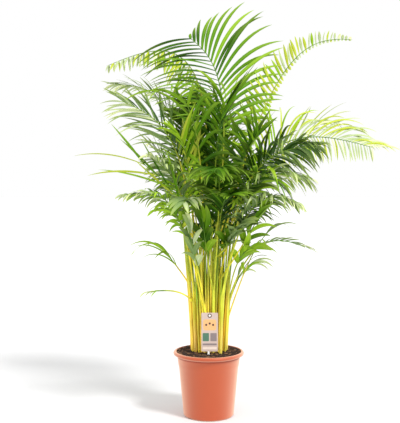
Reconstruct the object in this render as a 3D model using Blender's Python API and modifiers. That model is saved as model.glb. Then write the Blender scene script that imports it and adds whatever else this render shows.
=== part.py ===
# A potted areca palm: a plastic nursery pot filled with soil, a clump of thin canes that stand on the
# soil, arching feather fronds that sit on the tips of the canes, and a plant label on a spike.
# Metres, +Z up. The origin is the middle of the pot's flat underside, and the front faces -Y.

import math

import bmesh
import bpy
import numpy as np
from mathutils import Vector
from mathutils.bvhtree import BVHTree

GAP = 0.0003                 # clearance between two pieces that touch
TURN_STEPS = 48              # facets round a turned piece
MERGE = 0.00001              # distance under which a turned piece's pole is closed

# Pot: a tapered wall with a step under a rolled lip, three drain slots at the foot.
POT_HEIGHT = 0.193
LIP_RADIUS = 0.1055          # widest place of the pot
MOUTH_RADIUS = 0.0975        # inner edge of the lip
LIP_HEIGHT = 0.013
NECK_RADIUS = 0.0936         # wall just under the lip
STEP_HEIGHT = 0.148
STEP_DEPTH = 0.0017
STEP_RADIUS = 0.0889         # wall just under the step
FOOT_RADIUS = 0.0755
FOOT_ROUND = 0.006           # rounding between wall and underside
WALL = 0.0023
FLOOR = 0.0035
DRAIN_TURNS = (223.5, 343.5, 103.5)
DRAIN_SIZE = (0.014, 0.018, 0.010)   # along the radius, along the wall, upright
DRAIN_TOP = 0.0045

# Soil: a low mound, flat where the canes stand.
SOIL_TOP = 0.192
SOIL_FLAT_RADIUS = 0.070
SOIL_EDGE = 0.1895

# Label: a card with a hole near its top and a spike that goes into the soil.
LABEL_MIDDLE = (0.0022, -0.060)
CARD_WIDTH = 0.0485
CARD_BOTTOM = 0.2035
CARD_TOP = 0.317
CARD_CORNER = 0.003
HOLE_RADIUS = 0.004
HOLE_BELOW_TOP = 0.0085
SPIKE_WIDTH = 0.0055
SPIKE_OFFSET = -0.0032       # from the card's middle to the spike's
SPIKE_POINT = 0.150
LABEL_THICKNESS = 0.0009

# Canes: (x mm, y mm, height m, foot radius mm). They spread by their own height as they rise.
CANES = [
    (-48, 18, 0.20, 5.8),
    (-30, 38, 0.22, 5.4),
    (34, -44, 0.17, 4.8),
    (44, 40, 0.06, 5.0),
    (-38, -22, 0.15, 4.6),
    (-10, -42, 0.11, 4.4),
    (12, -32, 0.19, 4.6),
    (-16, -8, 0.24, 4.8),
    (7, -7, 0.27, 5.0),
    (28, -10, 0.22, 4.6),
    (52, 4, 0.16, 4.6),
    (-22, 14, 0.28, 5.0),
    (4, 18, 0.25, 5.0),
    (24, 20, 0.27, 5.0),
    (-6, 48, 0.18, 4.6),
    (18, 54, 0.13, 4.6),
]
CANE_SIDES = 8
CANE_TIP_RADIUS = 0.0052
CANE_SWELL = ((0.0, 1.0), (0.07, 1.14), (0.28, 0.96), (1.0, None))   # share of height, share of radius

# Fronds. A stem is three-sided; leaflets leave it in pairs from where the bare stalk ends.
STEM_FOOT_RADIUS = (0.0032, 0.0026, 0.0023)   # with one, two or three fronds on a cane
STEM_BLADE_RADIUS = 0.0021
STEM_TIP_RADIUS = 0.0009
SEAT_RADIUS = 0.0031         # from a cane's axis to each seat where it carries several fronds
SEATS_A_CANE = 3
STALK_RINGS = 6
PAIR_SPACING = 0.036
LEAF_STRETCH = 2.0           # leaflets are wider than life, as they are fewer
LEAF_THICKNESS = 0.01        # share of a leaflet's length
LEAF_THINNEST = 0.0012
LONG_LEAF = 0.14             # above this a leaflet has a second bend
LEAST_SWEEP = 6              # degrees off the rib
TURN_LIMIT = 50              # degrees that a solid leaflet's blade is twisted at most
SWELL_START = 0.7            # share of full length at the blade's foot, and where it is full
SWELL_END = 0.25
LEAF_STEPS = 20
LINE_STEPS = 60
SPACE = 0.0006               # room kept between leaflets
ROOT_SHARE = 0.2             # of the way to a leaflet's first ring, where it has left the rib
ROOT_BOX = 0.004             # added round a leaflet's box for its root
ATTEMPTS = [                 # share of the length, turn in degrees and pull, tried in this order
    (1.0, 0, 0.0), (1.0, 7, 0.0), (1.0, -7, 0.0), (1.0, 0, 0.35), (1.0, 0, -0.3), (0.8, 12, 0.0),
    (0.8, -10, 0.3), (0.6, 0, 0.0), (0.6, 10, -0.3), (0.45, 0, 0.3),
]

# How each kind of frond holds its leaflets. Sweep is the angle off the rib at the blade's foot, middle
# and tip; lift raises both rows, droop pulls them down, spread bends them away from the rib's tip and
# turn twists the blade of a leaflet. Last is the share of length that the last leaflet keeps, fade is
# where the leaflets start to shorten, reach scales a row. A left row may have its own values.
KINDS = {
    "open": dict(sweep=(60, 46, 46), lift=10, droop=0.25, spread=0.45, turn=0, width=0.0096, last=0.0,
                 fade=0.62,
                 left=dict(sweep=(60, 56, 38), droop=0.9, spread=0.0, turn=44, last=0.8, reach=0.84)),
    "fine": dict(sweep=(70, 70, 70), lift=-20, droop=0.9, spread=0.0, turn=0, width=0.0056, last=0.2,
                 fade=0.2, reach=0.2,
                 left=dict(sweep=(82, 78, 84), lift=20, droop=0.0, last=0.05, reach=1.0)),
    "hanging": dict(sweep=(80, 74, 64), lift=-50, droop=1.6, spread=0.0, turn=0, width=0.0062, last=0.2,
                    fade=0.1),
    "crest": dict(sweep=(64, 54, 40), lift=60, droop=0.3, spread=0.0, turn=20, width=0.0074, last=0.75,
                  fade=0.5, left=dict(sweep=(68, 60, 44), lift=54, droop=0.75)),
    "feather": dict(sweep=(50, 42, 30), lift=24, droop=0.6, spread=0.2, turn=0, width=0.0066, last=0.35,
                    fade=0.5),
    "swept": dict(sweep=(34, 26, 12), lift=16, droop=0.4, spread=0.0, turn=30, width=0.0058, last=0.5,
                  fade=0.5, reach=0.85,
                  left=dict(sweep=(40, 34, 20), droop=0.8, turn=30, reach=1.0)),
    "straight": dict(sweep=(20, 14, 8), lift=14, droop=0.15, spread=0.0, turn=0, width=0.0070, last=0.9,
                     fade=0.5, pairs=4, reach=0.76, left=dict(sweep=(26, 30, 26), droop=0.32, reach=1.0)),
    "sparse": dict(sweep=(38, 32, 22), lift=14, droop=0.3, spread=0.0, turn=0, width=0.0062, last=0.9,
                   fade=0.5, pairs=9, left=dict(droop=0.5)),
    "strand": dict(sweep=(20, 14, 8), lift=8, droop=1.4, spread=0.0, turn=0, width=0.0080, last=1.0,
                   fade=0.5, pairs=3),
    "weeping": dict(sweep=(52, 42, 28), lift=8, droop=1.3, spread=0.1, turn=0, width=0.0068, last=0.4,
                    fade=0.5),
    "tasselled": dict(sweep=(56, 56, 60), lift=-24, droop=1.6, spread=0.0, turn=0, width=0.0056, last=0.5,
                      fade=0.6, reach=0.55,
                      left=dict(sweep=(58, 46, 32), lift=38, droop=1.3, reach=1.1)),
    "young": dict(sweep=(48, 36, 20), lift=10, droop=0.9, spread=0.1, turn=0, width=0.013, last=0.7,
                  fade=0.5, pairs=6),
    "cleft": dict(sweep=(26, 18, 10), lift=8, droop=0.8, spread=0.0, turn=0, width=0.016, last=1.0,
                  fade=0.5, pairs=3),
}

# Fronds that stand out one by one: cane, shoulder and tip in cm, roll of the blade in degrees, share
# of the stem that is bare, kind, longest leaflet in m, tint.
SHOWN = [
    (8, (9, 0, 101), (-6, -3, 112), 90, 0.54, "open", 0.275, "mid"),
    (13, (19, 12, 115), (47, 24, 116), -50, 0.34, "fine", 0.135, "lime"),
    (11, (6, 10, 121), (-33, 22, 107), 0, 0.50, "hanging", 0.130, "lime"),
    (1, (-5, 6, 99), (-30, 12, 100), 30, 0.52, "swept", 0.110, "pale"),
    (7, (-1, -5, 96), (-14, -14, 95), 0, 0.48, "young", 0.170, "mid"),
    (12, (2, 1, 88), (5, -12, 91), -5, 0.46, "crest", 0.210, "dark"),
    (1, (-6, 2, 79), (-8, -9, 82), 10, 0.48, "crest", 0.175, "lime"),
    (14, (9, 0, 78), (14, -12, 83), -15, 0.58, "crest", 0.150, "dark"),
    (6, (4, -9, 78), (1, -27, 72), 0, 0.50, "weeping", 0.130, "mid"),
    (7, (-4, -6, 68), (-7, -23, 64), 0, 0.50, "young", 0.100, "mid"),
    (6, (3, -5, 66), (6, -22, 66), 0, 0.50, "feather", 0.130, "dark"),
    (0, (-4, -2, 84), (-25, -6, 93), 60, 0.55, "swept", 0.165, "dark"),
    (4, (-1, -6, 61), (-20, -12, 76), 50, 0.60, "straight", 0.240, "mid"),
    (11, (-11, 5, 75), (-19, 12, 82), 30, 0.42, "swept", 0.130, "pale"),
    (4, (-6, -11, 69), (-24, -13, 66), 20, 0.50, "weeping", 0.085, "lime"),
    (5, (-7, -9, 64), (-15, -16, 62), 20, 0.60, "young", 0.065, "lime"),
    (10, (9, 2, 91), (50, 4, 80), -60, 0.44, "tasselled", 0.165, "lime"),
    (13, (20, 8, 80), (35, 14, 87), -40, 0.45, "sparse", 0.175, "lime"),
    (9, (9, -4, 79), (31, -10, 80), -50, 0.48, "weeping", 0.145, "dark"),
    (2, (10, -8, 76), (27, -14, 71), -20, 0.50, "weeping", 0.150, "lime"),
    (2, (10, -12, 70), (24, -20, 64), -20, 0.50, "weeping", 0.120, "pale"),
    (9, (11, -12, 78), (19, -20, 69), -20, 0.55, "young", 0.110, "dark"),
    (10, (8, -4, 49), (13, -9, 51), -20, 0.50, "cleft", 0.110, "lime"),
    (4, (-8, -6, 39), (-18, -8, 38), 0, 0.70, "strand", 0.040, "pale"),
    (5, (-3, -8, 45), (-6, -12, 57), 0, 0.50, "cleft", 0.090, "pale"),
    (6, (0, -7, 44), (-2, -10, 60), 0, 0.45, "cleft", 0.090, "mid"),
    (12, (4, -2, 48), (6, -10, 56), 0, 0.45, "cleft", 0.110, "mid"),
    (8, (4, -5, 49), (8, -12, 56), 0, 0.45, "cleft", 0.110, "dark"),
    (0, (-9, 1, 44), (-13, -1, 49), 20, 0.45, "strand", 0.150, "lime"),
    (10, (13, 2, 56), (30, 2, 50), -20, 0.55, "sparse", 0.050, "pale"),
    (3, (8, 1, 43), (14, 1, 46), -20, 0.60, "strand", 0.100, "pale"),
    (3, (12, -2, 50), (19, -6, 57), -20, 0.40, "strand", 0.110, "lime"),
    (15, (1, 7, 51), (0, -3, 62), 0, 0.50, "young", 0.120, "dark"),
    (0, (-5, -3, 69), (-17, -13, 77), 30, 0.45, "weeping", 0.100, "lime"),
    (9, (9, -7, 50), (15, -14, 62), -20, 0.45, "cleft", 0.120, "lime"),
]

# Fronds that fill the back of the crown, in three tiers. Each tier is spread over an arc of degrees
# that starts at turn.
TIERS = [
    dict(count=2, turn=43, arc=100, reach=(0.10, 0.20), crest=(0.94, 1.02), drop=0.06, leaf=0.160,
         bare=0.50, height_wish=3.0, kinds=("swept", "feather"), tints=("mid", "dark", "lime")),
    dict(count=3, turn=31, arc=100, reach=(0.22, 0.32), crest=(0.80, 0.94), drop=0.12, leaf=0.160,
         bare=0.48, height_wish=0.0, kinds=("feather", "swept", "weeping"), tints=("dark", "mid", "dark")),
    dict(count=1, turn=30, arc=100, reach=(0.18, 0.28), crest=(0.62, 0.74), drop=0.12, leaf=0.110,
         bare=0.55, height_wish=-3.0, kinds=("young", "weeping"), tints=("dark", "mid")),
]
REACH_STEP = 0.618           # how the fronds of a tier differ in reach and in height
CREST_STEP = 0.382
CREST_START = 0.3
SHOULDER_SHARE = 0.55        # of a fill frond's reach
FILL_ROLLS = (25, -20, 10, -35)

# Colour, roughness
FINISHES = {
    "pot_plastic": ((0.60, 0.13, 0.06, 1), 0.45),
    "potting_soil": ((0.035, 0.018, 0.012, 1), 0.95),
    "cane_skin": ((0.52, 0.44, 0.06, 1), 0.45),
    "label_card": ((0.62, 0.50, 0.44, 1), 0.40),
    "leaf_dark": ((0.035, 0.105, 0.012, 1), 0.45),
    "leaf_mid": ((0.100, 0.215, 0.020, 1), 0.45),
    "leaf_lime": ((0.260, 0.420, 0.045, 1), 0.45),
    "leaf_pale": ((0.500, 0.620, 0.220, 1), 0.50),
}


def clear_scene():
    for item in list(bpy.data.objects):
        bpy.data.objects.remove(item, do_unlink=True)


def new_collection(name):
    group = bpy.data.collections.new(name)
    bpy.context.scene.collection.children.link(group)
    return group


def finish(name):
    """The Principled material of that name, made once."""
    if name in bpy.data.materials:
        return bpy.data.materials[name]
    colour, roughness = FINISHES[name]
    material = bpy.data.materials.new(name)
    material.use_nodes = True
    shader = material.node_tree.nodes["Principled BSDF"]
    shader.inputs["Base Color"].default_value = colour
    shader.inputs["Roughness"].default_value = roughness
    shader.inputs["Metallic"].default_value = 0.0
    return material


def add_object(name, data, group, finish_name=None):
    item = bpy.data.objects.new(name, data)
    group.objects.link(item)
    if finish_name:
        data.materials.append(finish(finish_name))
    return item


def arc(centre_r, centre_z, radius, start, end, count):
    """Points of a circle's arc in a turned profile, from start to end in degrees."""
    angles = np.radians(np.linspace(start, end, count))
    return [(centre_r + radius * math.cos(a), centre_z + radius * math.sin(a)) for a in angles]


def turned(name, profile, group, finish_name):
    """A Screw of a profile that runs from the axis, down its outer side, back to the axis."""
    mesh = bpy.data.meshes.new(name)
    points = [(r, 0.0, z) for r, z in profile]
    mesh.from_pydata(points, [(k, k + 1) for k in range(len(points) - 1)], [])
    item = add_object(name, mesh, group, finish_name)
    screw = item.modifiers.new("Turn", "SCREW")
    screw.steps = TURN_STEPS
    screw.render_steps = TURN_STEPS
    screw.use_merge_vertices = True
    screw.merge_threshold = MERGE
    screw.use_smooth_shade = True
    return item


def inner_wall():
    """The pot's inner wall from the floor to the mouth, as (radius, height)."""
    foot_slope = (STEP_RADIUS - FOOT_RADIUS) / (STEP_HEIGHT - FOOT_ROUND)
    corner = FOOT_ROUND - WALL
    low = FOOT_RADIUS - WALL + foot_slope * (FLOOR + corner - FOOT_ROUND)
    return [
        (low - corner, FLOOR),
        (low - 0.3 * corner, FLOOR + 0.3 * corner),
        (low, FLOOR + corner),
        (STEP_RADIUS - WALL, STEP_HEIGHT + 0.5 * STEP_DEPTH),
        (STEP_RADIUS + STEP_DEPTH - WALL, STEP_HEIGHT + 1.5 * STEP_DEPTH),
        (NECK_RADIUS - WALL, POT_HEIGHT - LIP_HEIGHT - WALL),
        (MOUTH_RADIUS - 0.0008, POT_HEIGHT - 0.0035),
    ]


def make_pot(group, cutters):
    lip_bottom = POT_HEIGHT - LIP_HEIGHT
    lip_round = 0.45 * LIP_HEIGHT
    outer = [(MOUTH_RADIUS, POT_HEIGHT - 0.001), (MOUTH_RADIUS + 0.001, POT_HEIGHT)]
    outer += arc(LIP_RADIUS - lip_round, POT_HEIGHT - lip_round, lip_round, 90, -30, 6)
    outer += [
        (NECK_RADIUS + 0.003, lip_bottom + 0.0012),
        (NECK_RADIUS, lip_bottom - 0.0008),
        (STEP_RADIUS + STEP_DEPTH, STEP_HEIGHT + STEP_DEPTH),
        (STEP_RADIUS, STEP_HEIGHT),
    ]
    outer += arc(FOOT_RADIUS - FOOT_ROUND, FOOT_ROUND, FOOT_ROUND, 0, -90, 5)
    pot = turned("pot", [(0.0, FLOOR)] + inner_wall() + outer + [(0.0, 0.0)], group, "pot_plastic")
    for number, turn in enumerate(DRAIN_TURNS):
        angle = math.radians(turn)
        bm = bmesh.new()
        bmesh.ops.create_cube(bm, size=1.0)
        bmesh.ops.scale(bm, vec=DRAIN_SIZE, verts=bm.verts)
        mesh = bpy.data.meshes.new(f"drain_{number + 1}")
        bm.to_mesh(mesh)
        bm.free()
        cutter = add_object(mesh.name, mesh, cutters)
        cutter.location = (FOOT_RADIUS * math.cos(angle), FOOT_RADIUS * math.sin(angle),
                           DRAIN_TOP - DRAIN_SIZE[2] / 2)
        cutter.rotation_euler = (0.0, 0.0, angle)
        cutter.hide_render = True
        cutter.display_type = "WIRE"
        cut = pot.modifiers.new("Drain", "BOOLEAN")
        cut.object = cutter
    return pot


def make_soil(group, cutters):
    wall = inner_wall()
    radii = [r for r, z in wall]
    heights = [z for r, z in wall]
    edge = np.interp(SOIL_EDGE, heights[2:], radii[2:]) - GAP
    profile = [(0.0, SOIL_TOP), (SOIL_FLAT_RADIUS, SOIL_TOP), (edge, SOIL_EDGE)]
    profile += [(r - GAP, z + GAP) for r, z in reversed(wall) if z < SOIL_EDGE]
    profile += [(0.0, FLOOR + GAP)]
    soil = turned("soil", profile, group, "potting_soil")
    bm = bmesh.new()
    bmesh.ops.create_cube(bm, size=1.0)
    height = SOIL_TOP - SPIKE_POINT + 0.02
    size = (SPIKE_WIDTH + 2 * GAP, LABEL_THICKNESS + 2 * GAP, height)
    bmesh.ops.scale(bm, vec=size, verts=bm.verts)
    mesh = bpy.data.meshes.new("spike_slot")
    bm.to_mesh(mesh)
    bm.free()
    cutter = add_object("spike_slot", mesh, cutters)
    cutter.location = (LABEL_MIDDLE[0] + SPIKE_OFFSET, LABEL_MIDDLE[1],
                       SPIKE_POINT - GAP + height / 2)
    cutter.hide_render = True
    cutter.display_type = "WIRE"
    cut = soil.modifiers.new("Slot", "BOOLEAN")
    cut.object = cutter
    return soil


def add_spline(curve, points):
    spline = curve.splines.new("POLY")
    spline.points.add(len(points) - 1)
    for slot, (x, z) in zip(spline.points, points):
        slot.co = (x, z, 0.0, 1.0)
    spline.use_cyclic_u = True


def make_label(group):
    """A flat outline with a round hole: card, spike and the spike's point."""
    half = CARD_WIDTH / 2
    left = SPIKE_OFFSET - SPIKE_WIDTH / 2
    right = SPIKE_OFFSET + SPIKE_WIDTH / 2
    outline = []
    for x, z, start in ((1, CARD_TOP, 0), (-1, CARD_TOP, 90), (-1, CARD_BOTTOM, 180)):
        inward = -CARD_CORNER if z == CARD_TOP else CARD_CORNER
        outline += arc(x * (half - CARD_CORNER), z + inward, CARD_CORNER, start, start + 90, 4)
    outline += [(left, CARD_BOTTOM), (left, SPIKE_POINT + SPIKE_WIDTH), (SPIKE_OFFSET, SPIKE_POINT)]
    outline += [(right, SPIKE_POINT + SPIKE_WIDTH), (right, CARD_BOTTOM)]
    outline += arc(half - CARD_CORNER, CARD_BOTTOM + CARD_CORNER, CARD_CORNER, 270, 360, 4)
    curve = bpy.data.curves.new("label", "CURVE")
    curve.dimensions = "2D"
    curve.fill_mode = "BOTH"
    curve.extrude = LABEL_THICKNESS / 2
    add_spline(curve, outline)
    add_spline(curve, arc(0.0, CARD_TOP - HOLE_BELOW_TOP, HOLE_RADIUS, 0, 345, 24))
    label = add_object("label", curve, group, "label_card")
    label.location = (LABEL_MIDDLE[0], LABEL_MIDDLE[1], 0.0)
    label.rotation_euler = (math.pi / 2, 0.0, 0.0)
    return label


def cane_foot(number):
    x, y, height, radius = CANES[number]
    return np.array([x / 1000, y / 1000, SOIL_TOP + GAP])


def cane_tip(number):
    x, y, height, radius = CANES[number]
    return np.array([x * (1 + height) / 1000, y * (1 + height) / 1000, SOIL_TOP + height])


def extend(bm, face, old, new):
    """Extrude a face and carry its corners from the old ring of points to the new one."""
    face = bmesh.ops.extrude_discrete_faces(bm, faces=[face])["faces"][0]
    for vert in face.verts:
        nearest = min(range(len(old)), key=lambda k: (vert.co - Vector(old[k])).length_squared)
        vert.co = Vector(new[nearest])
    return face


def first_piece(bm, lower, upper):
    """A closed prism between two rings of points; returns its upper face."""
    sides = len(lower)
    bmesh.ops.create_cone(bm, cap_ends=True, segments=sides, radius1=1.0, radius2=1.0, depth=1.0)
    bm.verts.ensure_lookup_table()
    tops = set()
    for k in range(sides):
        bm.verts[2 * k].co = Vector(lower[k])
        bm.verts[2 * k + 1].co = Vector(upper[k])
        tops.add(bm.verts[2 * k + 1])
    return next(face for face in bm.faces if set(face.verts) == tops)


def make_cane(number, group):
    """A cane swells just above the soil and tapers to a flat tip; every ring is level."""
    foot = cane_foot(number)
    tip = cane_tip(number)
    foot_radius = CANES[number][3] / 1000
    angles = np.arange(CANE_SIDES) * 2 * np.pi / CANE_SIDES
    circle = np.stack([np.sin(angles), np.cos(angles), 0 * angles], axis=1)
    rings = []
    for share, size in CANE_SWELL:
        radius = CANE_TIP_RADIUS if size is None else foot_radius * size
        rings.append(foot + (tip - foot) * share + circle * radius)
    bm = bmesh.new()
    face = first_piece(bm, rings[0], rings[1])
    for old, new in zip(rings[1:], rings[2:]):
        face = extend(bm, face, old, new)
    return finished(bm, f"cane_{number + 1:02d}", group, "cane_skin")


def finished(bm, name, group, finish_name):
    bmesh.ops.recalc_face_normals(bm, faces=bm.faces)
    mesh = bpy.data.meshes.new(name)
    bm.to_mesh(mesh)
    bm.free()
    return add_object(name, mesh, group, finish_name)


def unit(vectors):
    vectors = np.asarray(vectors, float)
    return vectors / np.linalg.norm(vectors, axis=-1, keepdims=True)


def plan_fronds():
    """Every frond as a dictionary: those that stand out, then the tiers that fill the crown."""
    fronds = []
    for cane, shoulder, tip, roll, bare, kind, leaf, tint in SHOWN:
        fronds.append(dict(cane=cane, shoulder=np.array(shoulder) / 100, tip=np.array(tip) / 100,
                           roll=roll, bare=bare, kind=kind, leaf=leaf, tint=tint))
    for tier in TIERS:
        for i in range(tier["count"]):
            turn = math.radians(tier["turn"] + tier["arc"] * (i + 0.5) / tier["count"])
            out = np.array([math.cos(turn), math.sin(turn), 0.0])
            near, far = tier["reach"]
            low, high = tier["crest"]
            reach = near + (far - near) * (REACH_STEP * i % 1.0)
            crest = low + (high - low) * ((CREST_STEP * i + CREST_START) % 1.0)
            fronds.append(dict(
                cane=free_cane(fronds, turn, tier["height_wish"]),
                shoulder=out * reach * SHOULDER_SHARE + [0, 0, crest],
                tip=out * reach + [0, 0, crest - tier["drop"]],
                roll=FILL_ROLLS[(len(fronds) - len(SHOWN)) % len(FILL_ROLLS)],
                bare=tier["bare"], kind=tier["kinds"][i % len(tier["kinds"])],
                leaf=tier["leaf"], tint=tier["tints"][i % len(tier["tints"])]))
    seat_fronds(fronds)
    return fronds


def free_cane(fronds, turn, height_wish):
    """The cane that stands furthest towards the turn, prefers few fronds and suits the tier."""
    scores = []
    for number, (x, y, height, radius) in enumerate(CANES):
        used = sum(frond["cane"] == number for frond in fronds)
        score = (x * math.cos(turn) + y * math.sin(turn)) / 50 - 0.35 * used
        score += (height - 0.17) * height_wish
        scores.append(score if used < SEATS_A_CANE else -math.inf)
    return int(np.argmax(scores))


def seat_fronds(fronds):
    """Fronds that share a cane sit evenly round its axis, in the order that they lean."""
    for number in range(len(CANES)):
        mine = [frond for frond in fronds if frond["cane"] == number]
        middle = cane_tip(number) + [0, 0, GAP]
        leans = []
        for frond in mine:
            dx, dy = (frond["shoulder"] - middle)[:2]
            leans.append(math.atan2(dy, dx))
        leans = np.array(leans)
        slots = np.empty(len(mine))
        slots[np.argsort(leans)] = np.arange(len(mine)) * 2 * np.pi / max(len(mine), 1)
        offset = np.angle(np.exp(1j * (leans - slots)).sum())
        out = SEAT_RADIUS if len(mine) > 1 else 0.0
        for frond, slot in zip(mine, slots + offset):
            frond["foot"] = middle + out * np.array([math.cos(slot), math.sin(slot), 0.0])
            frond["foot_radius"] = STEM_FOOT_RADIUS[len(mine) - 1]


def stem_line(frond):
    """Evenly spaced points of a cubic curve: foot, shoulder, half way to the tip, tip."""
    foot, shoulder, tip = frond["foot"], frond["shoulder"], frond["tip"]
    t = np.linspace(0.0, 1.0, 400)[:, None]
    curve = ((1 - t) ** 3 * foot + 3 * (1 - t) ** 2 * t * shoulder
             + 3 * (1 - t) * t ** 2 * (shoulder + tip) / 2 + t ** 3 * tip)
    steps = np.linalg.norm(np.diff(curve, axis=0), axis=1)
    along = np.concatenate([[0.0], np.cumsum(steps)])
    even = np.linspace(0.0, along[-1], LINE_STEPS)
    return np.stack([np.interp(even, along, curve[:, k]) for k in range(3)], axis=1), along[-1]


def stem_axes(line, frond):
    """Along the line: its direction, the side that the right row leaves by, and the upper face."""
    up = np.array([0.0, 0.0, 1.0])
    lean = unit((frond["tip"] - frond["foot"]) * [1, 1, 0])
    level = np.cross(up, lean)
    ahead = unit(np.gradient(line, axis=0))
    side = unit(level - ahead * (ahead @ level)[:, None])
    upper = np.cross(ahead, side)
    roll = math.radians(frond["roll"])
    return (ahead, math.cos(roll) * side + math.sin(roll) * upper,
            math.cos(roll) * upper - math.sin(roll) * side)


def at_share(values, share):
    shares = np.linspace(0.0, 1.0, len(values))
    return np.array([np.interp(share, shares, values[:, k]) for k in range(3)])


def stem_ring(frond, share):
    """The three corners of the stem at a share of its length: ridge, right, left."""
    line, ahead, side, upper = frond["line"], frond["ahead"], frond["side"], frond["upper"]
    radius = np.interp(share, [0.0, frond["bare"], 1.0],
                       [frond["foot_radius"], STEM_BLADE_RADIUS, STEM_TIP_RADIUS])
    centre = at_share(line, share)
    right = unit(at_share(side, share))
    top = unit(at_share(upper, share))
    return [centre + radius * (math.sin(a) * right + math.cos(a) * top)
            for a in np.radians([0, 120, 240])]


def row_value(kind, name, side, neutral=None):
    """A kind's value for the right row, or for the left one where that has its own."""
    value = kind.get(name, neutral)
    return kind["left"].get(name, value) if side < 0 and "left" in kind else value


def leaf_share(kind, slot):
    """Share of the longest leaflet that a leaflet has, from the blade's foot to its tip."""
    v = slot["v"]
    swell = SWELL_START + (1 - SWELL_START) * min(v / SWELL_END, 1.0)
    lost = 1 - row_value(kind, "last", slot["side"])
    thin = lost * max((v - kind["fade"]) / (1 - kind["fade"]), 0.0)
    return swell * (1 - thin) * row_value(kind, "reach", slot["side"], 1.0)


def build_stem(frond):
    """The stem with a short flat place for each leaflet; keeps those places in frond['slots']."""
    frond["line"], length = stem_line(frond)
    frond["ahead"], frond["side"], frond["upper"] = stem_axes(frond["line"], frond)
    kind = KINDS[frond["kind"]]
    blade = length * (1 - frond["bare"])
    pairs = kind.get("pairs") or max(5, round(blade / PAIR_SPACING))
    stretch = 1.0 if "pairs" in kind else LEAF_STRETCH
    frond["width"] = kind["width"] * stretch
    half = min(0.3 * blade / pairs, 0.4 * frond["width"]) / length
    stalk = np.linspace(0.0, frond["bare"] - 2 * half, STALK_RINGS)
    foot = np.array(stem_ring(frond, 0.0))
    foot[:, 2] = frond["foot"][2]
    rings = [foot] + [stem_ring(frond, share) for share in stalk[1:]]
    bm = bmesh.new()
    face = first_piece(bm, rings[0], rings[1])
    for old, new in zip(rings[1:], rings[2:]):
        face = extend(bm, face, old, new)
    last = rings[-1]
    frond["slots"] = []
    for i in range(pairs):
        v = (i + 0.5) / pairs
        share = frond["bare"] + (1 - frond["bare"]) * (0.02 + 0.975 * v)
        near = stem_ring(frond, share - half)
        far = stem_ring(frond, share + half)
        face = extend(bm, extend(bm, face, last, near), near, far)
        walls = [other for edge in face.edges for other in edge.link_faces if other is not face]
        for side, corner in ((1, 1), (-1, 2)):
            corners = [near[0], near[corner], far[corner], far[0]]
            middle = Vector(np.mean(corners, axis=0))
            wall = min(walls, key=lambda f: (f.calc_center_median() - middle).length)
            frond["slots"].append(dict(face=wall, side=side, v=v, share=share, corners=corners))
        last = far
    point_end(bm, face, at_share(frond["line"], 1.0))
    frond["mesh"] = bm
    return BVHTree.FromBMesh(bm)


def point_end(bm, face, point):
    """Close a ring in a point: a vertex in the middle of its face, moved out."""
    centre = bmesh.ops.poke(bm, faces=[face])["verts"][0]
    centre.co = Vector(point)


def leaf_path(frond, slot, length, twist, pull):
    """A leaflet's middle line and its width and thickness directions at LEAF_STEPS places.

    It leaves the rib at the kind's angle, then bends down and away from the rib's tip."""
    kind, hand = KINDS[frond["kind"]], slot["side"]
    ahead = unit(at_share(frond["ahead"], slot["share"]))
    side = unit(at_share(frond["side"], slot["share"])) * hand
    upper = unit(at_share(frond["upper"], slot["share"]))
    sweep = np.interp(slot["v"], (0.0, 0.5, 1.0), row_value(kind, "sweep", hand))
    angle = math.radians(max(sweep + twist, LEAST_SWEEP))
    lift = math.radians(row_value(kind, "lift", hand))
    start = (math.cos(angle) * ahead
             + math.sin(angle) * (math.cos(lift) * side + math.sin(lift) * upper))
    u = (np.arange(LEAF_STEPS)[:, None] + 0.5) / LEAF_STEPS
    down = np.array([0.0, 0.0, -1.0])
    droop = row_value(kind, "droop", hand) + pull
    spread = row_value(kind, "spread", hand)
    heading = unit(start + droop * u ** 1.3 * down - spread * u * ahead)
    middle = at_share(frond["line"], slot["share"])
    path = middle + np.cumsum(np.vstack([0 * heading[:1], heading]), axis=0) * length / LEAF_STEPS
    across = unit(ahead - start * (ahead @ start))
    return path, heading, across, upper


def leaf_rings(frond, slot, length, twist, pull, extra=0.0):
    """The rings of four corners that shape a leaflet, and its tip; extra makes it thicker."""
    path, heading, across, upper = leaf_path(frond, slot, length, twist, pull)
    turn = math.radians(min(row_value(KINDS[frond["kind"]], "turn", slot["side"]), TURN_LIMIT))
    rings = []
    for u in ((0.33, 0.68) if length > LONG_LEAF else (0.42,)):
        width = frond["width"] * math.sin(math.pi * (0.08 + 0.92 * u)) ** 0.8
        thickness = max(LEAF_THICKNESS * length, LEAF_THINNEST)
        step = int(u * LEAF_STEPS)
        flat = unit(across - heading[step] * (heading[step] @ across))
        face = np.cross(heading[step], flat)
        face = face * math.copysign(1.0, face @ upper)
        w = (math.cos(turn) * flat + math.sin(turn) * face) * (width / 2 + extra)
        t = (math.cos(turn) * face - math.sin(turn) * flat) * (thickness / 2 + extra)
        rings.append([path[step] - w + t, path[step] - w - t,
                      path[step] + w - t, path[step] + w + t])
    return rings, path[-1]


def leaf_trees(rings, tip, corners):
    """A leaflet for the overlap tests: its whole length, the same without its root, and its box.

    Leaflets of one frond meet at the rib, so they are compared without their roots."""
    root = np.mean(corners, axis=0)
    trees = []
    for start in (corners, [root + ROOT_SHARE * (corner - root) for corner in rings[0]]):
        points = [Vector(p) for ring in [start] + rings for p in ring] + [Vector(tip)]
        end = 4 * len(rings)
        faces = [(end + j, end + (j + 1) % 4, end + 4) for j in range(4)]
        for k in range(0, end, 4):
            for j in range(4):
                ahead = (j + 1) % 4
                faces += [(k + j, k + ahead, k + ahead + 4), (k + j, k + ahead + 4, k + j + 4)]
        trees.append(BVHTree.FromPolygons(points, faces))
    return trees, np.min(points, axis=0) - ROOT_BOX, np.max(points, axis=0) + ROOT_BOX


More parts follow.
